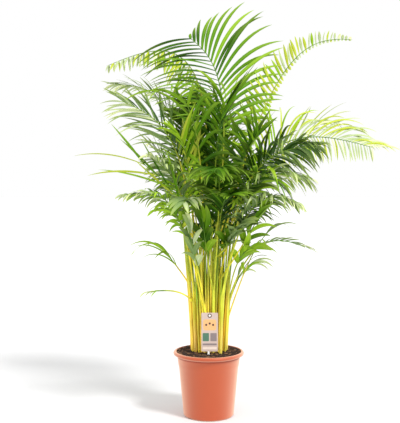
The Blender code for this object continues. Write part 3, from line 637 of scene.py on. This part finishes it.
caneColours = {  # name: screen colour at the foot and at the tip
    "caneOrange": ((244, 190, 96), (234, 208, 60)),
    "caneYellow": ((238, 198, 90), (222, 210, 52)),
    "caneGreen": ((220, 200, 82), (194, 200, 52)),
}
caneOf = ["caneOrange", "caneOrange", "caneGreen", "caneOrange", "caneYellow", "caneYellow",
          "caneGreen", "caneYellow", "caneGreen", "caneYellow", "caneGreen", "caneYellow",
          "caneGreen", "caneYellow", "caneYellow", "caneYellow"]
for name, (foot, top) in caneColours.items():
    mine = [number for number in range(len(caneTable)) if caneOf[number] == name]
    skin = surface(name, stalkSkin, {"Foot": tone(*foot), "Rib": tone(*top)}, shine=0.35)
    piece = makePiece(name, np.concatenate([canePoints(n) for n in mine]),
                      gridFaces(cane["rings"], cane["sides"], len(mine), ring=True), skin,
                      uv=gridUv(cane["rings"], cane["sides"], len(mine), ring=True))
    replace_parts(piece, *[f"cane_{n + 1:02d}" for n in mine])
print("canes made")

# fronds: the same rule as the frame's fronds, with finer and more leaflets

stem = dict(feet=(0.0032, 0.0026, 0.0023), blade=0.0021, tip=0.0009, seat=0.0031, seats=3,
            steps=60, sides=8, spacing=0.0070, sheath=0.0010)
kinds = {  # angle off the rib at the blade's foot, middle and tip, and how the leaflets lie
    "open": dict(sweep=(60, 46, 46), lift=10, droop=0.25, spread=0.45, turn=0, width=0.0112, last=0.0,
                 fade=0.62, spacing=0.0150, wild=3,
                 left=dict(sweep=(60, 56, 38), droop=0.9, spread=0.0, turn=(44, 44, 28), width=0.0078, last=0.8,
                           reach=0.84, paler=-0.7)),
    "fine": dict(sweep=(70, 70, 70), lift=-20, droop=0.9, spread=0.0, turn=0, width=0.0100, last=0.2,
                 fade=0.2, reach=0.2, spacing=0.015,
                 left=dict(sweep=(82, 78, 84), lift=20, droop=0.0, last=0.05, reach=1.0)),
    "hanging": dict(sweep=(80, 74, 64), lift=-50, droop=1.6, spread=0.0, turn=0, width=0.0082, last=0.2,
                    fade=0.1, spacing=0.018),
    "crest": dict(sweep=(64, 54, 40), lift=60, droop=0.3, spread=0.0, turn=20, width=0.0096, last=0.75,
                  fade=0.5, spacing=0.0100, wild=16, paler=0.4, left=dict(sweep=(68, 60, 44), lift=54, droop=0.75)),
    "feather": dict(sweep=(50, 42, 30), lift=24, droop=0.6, spread=0.2, turn=0, width=0.0092, last=0.35,
                    fade=0.5),
    "swept": dict(sweep=(34, 26, 12), lift=16, droop=0.4, spread=0.0, turn=30, width=0.0058, last=0.5,
                  fade=0.5, spacing=0.0116, reach=0.85, paler=-0.4,
                  left=dict(sweep=(40, 34, 20), droop=0.8, turn=30, reach=1.0, paler=0.8)),
    "straight": dict(sweep=(20, 14, 8), lift=14, droop=0.15, spread=0.0, turn=0, width=0.0070, last=0.9,
                     fade=0.5, pairs=4, reach=0.76,
                     left=dict(sweep=(26, 30, 26), droop=0.32, reach=1.0, paler=2.6)),
    "sparse": dict(sweep=(38, 32, 22), lift=14, droop=0.3, spread=0.0, turn=0, width=0.0062, last=0.9,
                   fade=0.5, pairs=9, left=dict(droop=0.5)),
    "strand": dict(sweep=(20, 14, 8), lift=8, droop=1.4, spread=0.0, turn=0, width=0.0080, last=1.0,
                   fade=0.5, pairs=3),
    "weeping": dict(sweep=(52, 42, 28), lift=8, droop=1.3, spread=0.1, turn=0, width=0.0080, last=0.4,
                    fade=0.5, wild=12),
    "tasselled": dict(sweep=(56, 56, 60), lift=-24, droop=1.6, spread=0.0, turn=0, width=0.0056, last=0.5,
                      fade=0.6, spacing=0.0095, reach=0.55,
                      left=dict(sweep=(58, 46, 32), lift=38, droop=1.3, reach=1.1)),
    "young": dict(sweep=(48, 36, 20), lift=10, droop=0.9, spread=0.1, turn=0, width=0.012, last=0.7,
                  fade=0.5, pairs=7),
    "cleft": dict(sweep=(26, 18, 10), lift=8, droop=0.8, spread=0.0, turn=0, width=0.021, last=1.0,
                  fade=0.5, pairs=4, wild=12),
}
shownFronds = [  # cane, shoulder cm, tip cm, roll, bare share, kind, longest leaflet m, tint
    (8, (9, 0, 101), (-6, -3, 112), 90, 0.54, "open", 0.275, "deep"),
    (13, (19, 12, 115), (47, 24, 116), -50, 0.34, "fine", 0.135, "faint"),
    (11, (6, 10, 121), (-33, 22, 107), 0, 0.50, "hanging", 0.130, "faint"),
    (1, (-5, 6, 99), (-30, 12, 100), 30, 0.52, "swept", 0.110, "sage"),
    (7, (-1, -5, 96), (-14, -14, 95), 0, 0.48, "young", 0.170, "mid"),
    (12, (2, 1, 88), (5, -12, 91), -5, 0.46, "crest", 0.210, "dark"),
    (1, (-6, 2, 79), (-8, -9, 82), 10, 0.48, "crest", 0.175, "lime"),
    (14, (9, 0, 78), (14, -12, 83), -15, 0.58, "crest", 0.150, "dark"),
    (6, (4, -9, 78), (1, -27, 72), 0, 0.50, "weeping", 0.130, "dark"),
    (7, (-4, -6, 68), (-7, -23, 64), 0, 0.50, "young", 0.100, "slate"),
    (6, (3, -5, 66), (6, -22, 66), 0, 0.50, "feather", 0.130, "dark"),
    (0, (-4, -2, 84), (-25, -6, 93), 60, 0.55, "swept", 0.165, "slate"),
    (4, (-1, -6, 61), (-20, -12, 76), 50, 0.60, "straight", 0.240, "mid"),
    (11, (-11, 5, 75), (-19, 12, 82), 30, 0.42, "swept", 0.130, "wan"),
    (4, (-6, -11, 69), (-24, -13, 66), 20, 0.50, "weeping", 0.085, "wan"),
    (5, (-7, -9, 64), (-15, -16, 62), 20, 0.60, "young", 0.065, "lime"),
    (10, (9, 2, 91), (50, 4, 80), -60, 0.44, "tasselled", 0.165, "faint"),
    (13, (20, 8, 80), (35, 14, 87), -40, 0.45, "sparse", 0.175, "faint"),
    (9, (9, -4, 79), (31, -10, 80), -50, 0.48, "weeping", 0.145, "dusk"),
    (2, (10, -8, 76), (27, -14, 71), -20, 0.50, "weeping", 0.150, "wan"),
    (2, (10, -12, 70), (24, -20, 64), -20, 0.50, "weeping", 0.120, "sage"),
    (9, (11, -12, 78), (19, -20, 69), -20, 0.55, "young", 0.110, "dark"),
    (10, (8, -4, 49), (13, -9, 51), -20, 0.50, "cleft", 0.110, "lime"),
    (4, (-8, -6, 39), (-18, -8, 38), 0, 0.70, "strand", 0.040, "pale"),
    (5, (-3, -8, 45), (-6, -12, 57), 0, 0.50, "cleft", 0.090, "sage"),
    (6, (0, -7, 44), (-2, -10, 60), 0, 0.45, "cleft", 0.090, "mid"),
    (12, (4, -2, 48), (6, -10, 56), 0, 0.45, "cleft", 0.110, "deep"),
    (8, (4, -5, 49), (8, -12, 56), 0, 0.45, "cleft", 0.110, "slate"),
    (0, (-9, 1, 44), (-13, -1, 49), 20, 0.45, "strand", 0.150, "lime"),
    (10, (13, 2, 56), (30, 2, 50), -20, 0.55, "sparse", 0.050, "sage"),
    (3, (8, 1, 43), (14, 1, 46), -20, 0.60, "strand", 0.100, "sage"),
    (3, (12, -2, 50), (19, -6, 57), -20, 0.40, "strand", 0.110, "wan"),
    (15, (1, 7, 51), (0, -3, 62), 0, 0.50, "young", 0.120, "dark"),
    (0, (-5, -3, 69), (-17, -13, 77), 30, 0.45, "weeping", 0.100, "wan"),
    (9, (9, -7, 50), (15, -14, 62), -20, 0.45, "cleft", 0.120, "lime"),
]
tiers = [
    dict(count=2, turn=43, arc=100, reach=(0.10, 0.20), crest=(0.94, 1.02), drop=0.06, leaf=0.160,
         bare=0.50, wish=3.0, kinds=("swept", "feather"), tints=("mid", "dark", "lime")),
    dict(count=3, turn=31, arc=100, reach=(0.22, 0.32), crest=(0.80, 0.94), drop=0.12, leaf=0.160,
         bare=0.48, wish=0.0, kinds=("feather", "swept", "weeping"), tints=("dark", "mid", "dark")),
    dict(count=1, turn=30, arc=100, reach=(0.18, 0.28), crest=(0.62, 0.74), drop=0.12, leaf=0.110,
         bare=0.55, wish=-3.0, kinds=("young", "weeping"), tints=("dark", "mid")),
]
reachStep = 0.618
crestStep = 0.382
shoulderShare = 0.55
fillRolls = (25, -20, 10, -35)


def freeCane(fronds, turn, wish):
    # the cane that stands furthest towards the turn, prefers few fronds and suits the tier
    scores = []
    for number, (x, y, height, radius) in enumerate(caneTable):
        used = sum(frond["cane"] == number for frond in fronds)
        score = (x * math.cos(turn) + y * math.sin(turn)) / 50 - 0.35 * used + (height - 0.17) * wish
        scores.append(score if used < stem["seats"] else -math.inf)
    return int(np.argmax(scores))


def planFronds():
    fronds = [dict(cane=c, shoulder=np.array(s) / 100, tip=np.array(t) / 100, roll=roll, bare=bare,
                   kind=kind, leaf=leaf, tint=tint)
              for c, s, t, roll, bare, kind, leaf, tint in shownFronds]
    for tier in tiers:
        for i in range(tier["count"]):
            turn = math.radians(tier["turn"] + tier["arc"] * (i + 0.5) / tier["count"])
            out = np.array([math.cos(turn), math.sin(turn), 0.0])
            reach = tier["reach"][0] + (tier["reach"][1] - tier["reach"][0]) * (reachStep * i % 1.0)
            crest = tier["crest"][0] + (tier["crest"][1] - tier["crest"][0]) * ((crestStep * i + 0.3) % 1.0)
            fronds.append(dict(
                cane=freeCane(fronds, turn, tier["wish"]),
                shoulder=out * reach * shoulderShare + [0, 0, crest],
                tip=out * reach + [0, 0, crest - tier["drop"]],
                roll=fillRolls[(len(fronds) - len(shownFronds)) % len(fillRolls)],
                bare=tier["bare"], kind=tier["kinds"][i % len(tier["kinds"])],
                leaf=tier["leaf"], tint=tier["tints"][i % len(tier["tints"])]))
    for number in range(len(caneTable)):
        mine = [frond for frond in fronds if frond["cane"] == number]
        middle = caneTip(number) + [0, 0, cane["gap"]]
        leans = np.array([math.atan2(*(frond["shoulder"] - middle)[1::-1]) for frond in mine])
        slots = np.empty(len(mine))
        slots[np.argsort(leans)] = np.arange(len(mine)) * 2 * np.pi / max(len(mine), 1)
        offset = np.angle(np.exp(1j * (leans - slots)).sum())
        out = stem["seat"] if len(mine) > 1 else 0.0
        for frond, slot in zip(mine, slots + offset):
            frond["foot"] = middle + out * np.array([math.cos(slot), math.sin(slot), 0.0])
            frond["footRadius"] = stem["feet"][len(mine) - 1]
    return fronds


def stemLine(frond):
    # evenly spaced points of a cubic curve: foot, shoulder, half way to the tip, tip
    foot, shoulder, tip = frond["foot"], frond["shoulder"], frond["tip"]
    t = np.linspace(0.0, 1.0, 400)[:, None]
    curve = ((1 - t) ** 3 * foot + 3 * (1 - t) ** 2 * t * shoulder
             + 3 * (1 - t) * t ** 2 * (shoulder + tip) / 2 + t ** 3 * tip)
    along = np.concatenate([[0.0], np.cumsum(np.linalg.norm(np.diff(curve, axis=0), axis=1))])
    even = np.linspace(0.0, along[-1], stem["steps"])
    return np.stack([np.interp(even, along, curve[:, k]) for k in range(3)], axis=1), along[-1]


def stemAxes(line, frond):
    # direction, right side and upper face along the line, turned by the frond's roll
    up = np.array([0.0, 0.0, 1.0])
    lean = unit((frond["tip"] - frond["foot"]) * [1, 1, 0])
    level = np.cross(up, lean)
    ahead = unit(np.gradient(line, axis=0))
    side = unit(level - ahead * (ahead @ level)[:, None])
    upper = np.cross(ahead, side)
    roll = math.radians(frond["roll"])
    return (ahead, math.cos(roll) * side + math.sin(roll) * upper,
            math.cos(roll) * upper - math.sin(roll) * side)


def atShares(values, shares):
    places = np.linspace(0.0, 1.0, len(values))
    return np.stack([np.interp(shares, places, values[:, k]) for k in range(3)], axis=1)


leaf = dict(rows=12, columns=5, fold=0.30, seed=5)


def eachHand(kind, name, hand, v=None, usual=1.0):
    # a kind's value for each leaflet; the left row has its own where the kind gives one
    right = kind.get(name, usual)
    left = kind.get("left", {}).get(name, right)
    if v is not None:
        right, left = (np.interp(v, (0.0, 0.5, 1.0), np.broadcast_to(three, 3)) for three in (right, left))
    return np.where(hand > 0, right, left)


def leafPoints(frond):
    # every leaflet of a frond: paths that leave the rib at the kind's angle and bend down and
    # outwards, a width that swells and comes to a point, and a shallow fold along the middle;
    # also how far each leaflet is along its frond's tints, with a little chance
    kind = kinds[frond["kind"]]
    line, length = stemLine(frond)
    ahead, side, upper = stemAxes(line, frond)
    blade = length * (1 - frond["bare"])
    pairs = kind.get("pairs") or max(6, round(blade / kind.get("spacing", stem["spacing"])))
    v = np.repeat((np.arange(pairs) + 0.5) / pairs, 2)
    hand = np.tile([1.0, -1.0], pairs)
    rng = np.random.default_rng(leaf["seed"] + frond["number"])
    shares = frond["bare"] + (1 - frond["bare"]) * (0.02 + 0.975 * v)
    t = unit(atShares(ahead, shares))
    b = unit(atShares(side, shares)) * hand[:, None]
    n = unit(atShares(upper, shares))
    swell = 0.7 + 0.3 * np.minimum(v / 0.25, 1.0)
    thin = (1 - eachHand(kind, "last", hand)) * np.maximum((v - kind["fade"]) / (1 - kind["fade"]), 0)
    lengths = frond["leaf"] * swell * (1 - thin) * eachHand(kind, "reach", hand)
    wild = kind.get("wild", 8)
    lengths = lengths * rng.uniform(1 - wild / 40, 1.03, len(v))
    angle = np.radians(eachHand(kind, "sweep", hand, v) + rng.uniform(-wild, wild, len(v)))[:, None]
    lift = np.radians(eachHand(kind, "lift", hand) + rng.uniform(-5, 5, len(v)))[:, None]
    start = np.cos(angle) * t + np.sin(angle) * (np.cos(lift) * b + np.sin(lift) * n)
    rows = leaf["rows"]
    u = ((np.arange(rows - 1) + 0.5) / (rows - 1))[None, :, None]
    droop = (eachHand(kind, "droop", hand) * rng.uniform(1 - wild / 25, 1 + wild / 25, len(v)))[:, None, None]
    spread = eachHand(kind, "spread", hand)[:, None, None]
    down = np.array([0.0, 0.0, -1.0])
    across = unit(t - start * (t * start).sum(axis=1, keepdims=True))[:, None]
    curl = rng.normal(0, wild / 40, len(v))[:, None, None]
    heading = unit(start[:, None] + droop * u ** 1.3 * down - spread * u * t[:, None]
                   + curl * u * across)
    root = atShares(line, shares)[:, None]
    path = root + np.concatenate([0 * heading[:, :1], np.cumsum(heading, axis=1)], axis=1) \
        * (lengths / (rows - 1))[:, None, None]
    heading = np.concatenate([heading[:, :1], heading], axis=1)
    flat = unit(across - heading * (heading * across).sum(axis=2, keepdims=True))
    face = np.cross(heading, flat)
    face = face * np.sign((face * n[:, None]).sum(axis=2, keepdims=True))
    along = np.linspace(0, 1, rows)
    turn = eachHand(kind, "turn", hand, v) + rng.normal(0, 2 * wild, len(v))
    turn = np.radians(turn[:, None] + rng.normal(0, 2.5 * wild, len(v))[:, None] * along)[:, :, None]
    flat, face = np.cos(turn) * flat + np.sin(turn) * face, np.cos(turn) * face - np.sin(turn) * flat
    width = eachHand(kind, "width", hand)[:, None] * np.sin(np.pi * (0.12 + 0.88 * along)) ** 0.8
    width[:, -1] = 0.0
    k = np.linspace(-1, 1, leaf["columns"])
    half = width[:, :, None, None] / 2
    points = (path[:, :, None] + half * k[None, None, :, None] * flat[:, :, None]
              + half * leaf["fold"] * np.abs(k)[None, None, :, None] * face[:, :, None])
    turned = np.einsum("ijk,ijk->i", np.cross(heading, flat), face) < 0
    points[turned] = points[turned][:, :, ::-1]
    place = v * tintStart[frond["tint"]][2] + eachHand(kind, "paler", hand, usual=0.0)
    return points, place + rng.normal(0, 0.3 + wild / 30, len(v))


tints = {  # name: screen colour of the blade, of its darker patches
    "leafDeep": ((40, 74, 6), (30, 60, 4)),
    "leafDark": ((56, 98, 8), (44, 82, 6)),
    "leafMid": ((90, 136, 18), (72, 116, 12)),
    "leafFresh": ((124, 164, 30), (104, 146, 20)),
    "leafLime": ((150, 190, 36), (130, 172, 26)),
    "leafYellow": ((188, 200, 66), (170, 186, 48)),
    "leafPale": ((226, 232, 184), (212, 222, 160)),
    "leafSlate": ((74, 104, 52), (58, 88, 40)),
    "leafSage": ((128, 152, 92), (106, 134, 74)),
    "leafMist": ((186, 200, 150), (166, 184, 128)),
}
tintScale = {  # the order in which a frond's leaflets go through the tints
    "green": ("leafDeep", "leafDark", "leafMid", "leafFresh", "leafLime", "leafYellow", "leafPale"),
    "grey": ("leafDeep", "leafSlate", "leafSage", "leafMist", "leafPale"),
    "wan": ("leafMid", "leafFresh", "leafLime", "leafSage", "leafMist", "leafPale"),
    "light": ("leafFresh", "leafLime", "leafYellow", "leafMist", "leafPale"),
}
tintStart = {  # scale, where on it the blade's foot lies and how far it rises to the tip
    "dark": ("green", 0.4, 1.0), "deep": ("green", 2.6, -1.2), "mid": ("green", 1.2, 2.0),
    "lime": ("green", 3.0, 0.6), "pale": ("green", 4.0, 1.9), "slate": ("grey", 1.1, 1.5),
    "sage": ("grey", 1.5, 1.2), "wan": ("wan", 1.6, 2.6),
    "faint": ("light", 0.8, 2.6), "dusk": ("grey", 0.3, 1.3)}


def makeLeaves(fronds):
    # each leaflet's tint is its place on its frond's scale
    heaps = {name: [] for name in tints}
    owners = {name: set() for name in tints}
    for frond in fronds:
        points, place = leafPoints(frond)
        scale, start, rise = tintStart[frond["tint"]]
        names = tintScale[scale]
        level = np.clip(np.round(start + place), 0, len(names) - 1).astype(int)
        for k, name in enumerate(names):
            if (level == k).any():
                heaps[name].append(points[level == k])
                owners[name].add(f"frond_{frond['number'] + 1:02d}")
    for name, (green, shade) in tints.items():
        # the tip colour, half way to a yellow lime, is partly the leaflets' own paler tips and partly painted
        # backlight glow
        blade = surface(name, leafBlade, {
            "Green": tone(*green), "Shade": tone(*shade),
            "Midrib": tone(*[min(255, value + 22) for value in green]),
            "Tip Tone And Glow": tone(*[(value + end) // 2 for value, end in zip(green, (200, 214, 92))])}, shine=0.07)
        points = np.concatenate(heaps[name])
        count = len(points)
        piece = makePiece(name, points, gridFaces(leaf["rows"], leaf["columns"], count), blade,
                          uv=gridUv(leaf["rows"], leaf["columns"], count), merge=1e-7)
        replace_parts(piece, *sorted(owners[name]))
        print(name, count, "leaflets")


stalkColours = {  # by the colour of the cane it grows from: screen colour at the foot and of the rib
    "caneOrange": ("stalkGold", (234, 208, 60), (112, 140, 30)),
    "caneYellow": ("stalkYellow", (220, 208, 52), (98, 132, 28)),
    "caneGreen": ("stalkGreen", (190, 196, 52), (84, 124, 26)),
}


def stalkTube(frond):
    # centre line, axes and radii of a frond's stalk: round, thinning to the tip, clasped at its foot
    line, length = stemLine(frond)
    ahead, side, upper = stemAxes(line, frond)
    share = np.linspace(0, 1, stem["steps"])
    radius = np.interp(share, [0, frond["bare"], 1.0], [frond["footRadius"], stem["blade"], stem["tip"]])
    radius = radius + stem["sheath"] * np.clip(1 - share / 0.16, 0, 1)
    radius[-1] = 0.0
    return line, side, upper, radius


def makeStems(fronds):
    # each stalk starts in the colour of its cane's tip
    for colour, (name, foot, rib) in stalkColours.items():
        tubes = [stalkTube(frond) for frond in fronds if caneOf[frond["cane"]] == colour]
        line, side, upper, radius = (np.stack(part) for part in zip(*tubes))
        skin = surface(name, stalkSkin, {"Foot": tone(*foot), "Rib": tone(*rib)}, shine=0.3)
        piece = makePiece(name, tubePoints(line, side, upper, radius, stem["sides"]),
                          gridFaces(stem["steps"], stem["sides"], len(tubes), ring=True), skin,
                          uv=gridUv(stem["steps"], stem["sides"], len(tubes), ring=True), merge=1e-7)


shoot = dict(count=76, tries=1400, spread=0.050, foot=0.0028, top=0.0022, low=0.24, high=0.50, lean=1.15,
             front=-0.030, bend=0.02, clear=0.0002, rings=40, sides=8, seed=3)


def makeShoots(fronds):
    # unopened young leaves: thin spears from the soil between the canes, each leaning outwards by its
    # distance from the middle; one that would touch a cane, a stalk or another spear is left out, and
    # none stands before the label
    rng = np.random.default_rng(shoot["seed"])
    share = np.linspace(0, 1, shoot["rings"])
    radius = np.interp(share, [0, 0.08, 0.7, 1.0], [shoot["foot"], shoot["foot"] * 1.1, shoot["top"], 0.0])
    taken, thick = [], []
    for number in range(len(caneTable)):
        foot, tip = caneFoot(number), caneTip(number)
        along = np.linspace(0, 1, 90)[:, None]
        taken.append(foot + (tip - foot) * along)
        thick.append(np.full(90, caneTable[number][3] / 1000 * cane["swell"]))
    for frond in fronds:
        line, side, upper, size = stalkTube(frond)
        taken.append(line)
        thick.append(size)
    spears = []
    for attempt in range(shoot["tries"]):
        away = shoot["spread"] * math.sqrt(rng.uniform())
        turn = rng.uniform(0, 2 * math.pi)
        height = rng.uniform(shoot["low"], shoot["high"])
        out = np.array([math.cos(turn), math.sin(turn), 0.0])
        if away * out[1] < shoot["front"]:
            continue
        line = (out * away * (1 + shoot["lean"] * share * height)[:, None]
                + out * shoot["bend"] * (share ** 2 * height)[:, None]
                + np.array([0.0, 0.0, 1.0]) * (cane["soil"] - cane["sunk"] + share * height)[:, None])
        apart = np.linalg.norm(line[:, None] - np.concatenate(taken)[None], axis=2)
        room = apart - np.concatenate(thick)[None] - radius[:, None]
        if room.min() > shoot["clear"]:
            spears.append(line)
            taken.append(line)
            thick.append(radius)
        if len(spears) == shoot["count"]:
            break
    right = np.tile([1.0, 0.0, 0.0], (shoot["rings"], 1))
    top = np.tile([0.0, 1.0, 0.0], (shoot["rings"], 1))
    for name, foot, rib, mine in (("shootYellow", (246, 214, 78), (164, 184, 50), spears[::2]),
                                  ("shootGreen", (218, 200, 64), (106, 146, 38), spears[1::2])):
        points = [tubePoints(line, right, top, radius, shoot["sides"]) for line in mine]
        skin = surface(name, stalkSkin, {"Foot": tone(*foot), "Rib": tone(*rib)}, shine=0.3)
        piece = makePiece(name, np.stack(points), gridFaces(shoot["rings"], shoot["sides"], len(mine), ring=True),
                          skin, uv=gridUv(shoot["rings"], shoot["sides"], len(mine), ring=True), merge=1e-7)
    print(len(spears), "young spears made")


fronds = planFronds()
for number, frond in enumerate(fronds):
    frond["number"] = number
makeLeaves(fronds)
makeStems(fronds)
makeShoots(fronds)
print(len(fronds), "fronds made")

# label

label = dict(x=0.0022, y=-0.060, width=0.0485, bottom=0.2035, top=0.317, corner=0.003, hole=0.004,
             holeDrop=0.0085, spike=0.0055, spikeShift=-0.0032, spikePoint=0.150, thick=0.0009)


def platePiece(name, outline, front, thick, material, holes=()):
    # a flat outline in X and Z with its front face at Y = front, made from a filled 2D curve
    curve = bpy.data.curves.new(name, "CURVE")
    curve.dimensions = "2D"
    curve.fill_mode = "BOTH"
    curve.extrude = thick / 2
    for loop in (outline, *holes):
        spline = curve.splines.new("POLY")
        spline.points.add(len(loop) - 1)
        flat = np.column_stack([loop, np.zeros(len(loop)), np.ones(len(loop))])
        spline.points.foreach_set("co", flat.astype(np.float32).ravel())
        spline.use_cyclic_u = True
    holder = bpy.data.objects.new(name + "Curve", curve)
    bpy.context.scene.collection.objects.link(holder)
    mesh = bpy.data.meshes.new_from_object(holder.evaluated_get(bpy.context.evaluated_depsgraph_get()))
    bpy.data.objects.remove(holder)
    points = np.empty(len(mesh.vertices) * 3, dtype=np.float32)
    mesh.vertices.foreach_get("co", points)
    points = points.reshape(-1, 3)
    placed = np.stack([points[:, 0] + label["x"], front + thick / 2 - points[:, 2], points[:, 1]], axis=1)
    mesh.vertices.foreach_set("co", placed.astype(np.float32).ravel())
    bm = bmesh.new()
    bm.from_mesh(mesh)
    bmesh.ops.remove_doubles(bm, verts=bm.verts, dist=1e-6)
    bmesh.ops.recalc_face_normals(bm, faces=bm.faces)
    bm.to_mesh(mesh)
    bm.free()
    mesh.name = name
    mesh.materials.clear()
    mesh.materials.append(material)
    piece = bpy.data.objects.new(name, mesh)
    bpy.context.scene.collection.objects.link(piece)
    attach(piece, "root")
    return piece


def roundBox(left, right, low, high, corner, count=5):
    parts = [arcPoints(right - corner, high - corner, corner, 0, 90, count),
             arcPoints(left + corner, high - corner, corner, 90, 180, count),
             arcPoints(left + corner, low + corner, corner, 180, 270, count),
             arcPoints(right - corner, low + corner, corner, 270, 360, count)]
    return np.concatenate(parts)


def makeLabel():
    half = label["width"] / 2
    c = label["corner"]
    left = label["spikeShift"] - label["spike"] / 2
    right = label["spikeShift"] + label["spike"] / 2
    outline = np.concatenate([
        arcPoints(half - c, label["top"] - c, c, 0, 90, 5),
        arcPoints(c - half, label["top"] - c, c, 90, 180, 5),
        arcPoints(c - half, label["bottom"] + c, c, 180, 270, 5),
        [(left, label["bottom"]), (left, label["spikePoint"] + label["spike"]),
         (label["spikeShift"], label["spikePoint"]), (right, label["spikePoint"] + label["spike"]),
         (right, label["bottom"])],
        arcPoints(half - c, label["bottom"] + c, c, 270, 360, 5)])
    holeHeight = label["top"] - label["holeDrop"]
    hole = arcPoints(0.0, holeHeight, label["hole"], 0, 345, 24)
    front = label["y"] - label["thick"] / 2
    cardSkin = mottled("cardStock", (196, 176, 164), (182, 162, 152), patch=60.0, grain=800.0, bump=0.05,
                       depth=0.0001, smooth=0.35, rough=0.45)
    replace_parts(platePiece("labelCard", outline, front, label["thick"], cardSkin, [hole]), "label")
    inks = {
        "inkPeach": ((226, 176, 118), (214, 160, 104)), "inkTeal": ((74, 116, 92), (60, 100, 78)),
        "inkGrey": ((134, 120, 118), (118, 106, 106)), "inkBrown": ((84, 56, 42), (72, 48, 36)),
        "inkCream": ((226, 208, 192), (214, 196, 182)), "inkWhite": ((246, 244, 240), (240, 238, 234))}
    skins = {name: mottled(name, a, b, patch=150.0, grain=900.0, bump=0.05, depth=0.0001, smooth=0.35,
                           rough=0.45) for name, (a, b) in inks.items()}
    proud = 0.00012
    ring = arcPoints(0.0, holeHeight, label["hole"] + 0.0022, 0, 345, 24)
    platePiece("labelEyelet", ring, front - proud, proud, skins["inkBrown"],
               [arcPoints(0.0, holeHeight, label["hole"] - 0.0008, 0, 345, 24)])
    plug = arcPoints(0.0, holeHeight, label["hole"] - 0.0009, 0, 345, 24)
    platePiece("labelPlug", plug, front - proud, proud, skins["inkWhite"])
    low = label["bottom"]
    shapes = [
        ("labelPanel", roundBox(-0.019, 0.019, low + 0.062, low + 0.094, 0.006), "inkPeach"),
        ("labelBand", roundBox(-0.0205, -0.002, low + 0.030, low + 0.054, 0.002), "inkTeal"),
        ("labelBlock", roundBox(0.002, 0.0205, low + 0.030, low + 0.054, 0.002), "inkGrey"),
        ("labelStrip", roundBox(-0.0205, 0.0205, low + 0.018, low + 0.0235, 0.001), "inkGrey"),
        ("labelFoot", roundBox(-0.0205, 0.0205, low + 0.006, low + 0.0125, 0.001), "inkCream"),
        ("labelSpike", roundBox(left, right, low - 0.016, low, 0.0004), "inkWhite"),
    ]
    for name, shape, ink in shapes:
        platePiece(name, shape, front - proud, proud, skins[ink])
    for k in range(3):
        dot = arcPoints(-0.010 + 0.010 * k, low + 0.078 + 0.004 * (k % 2), 0.0032, 0, 345, 24)
        platePiece(f"labelDot{k + 1}", dot, front - 2 * proud, proud, skins["inkBrown"])


makeLabel()
print("label made")
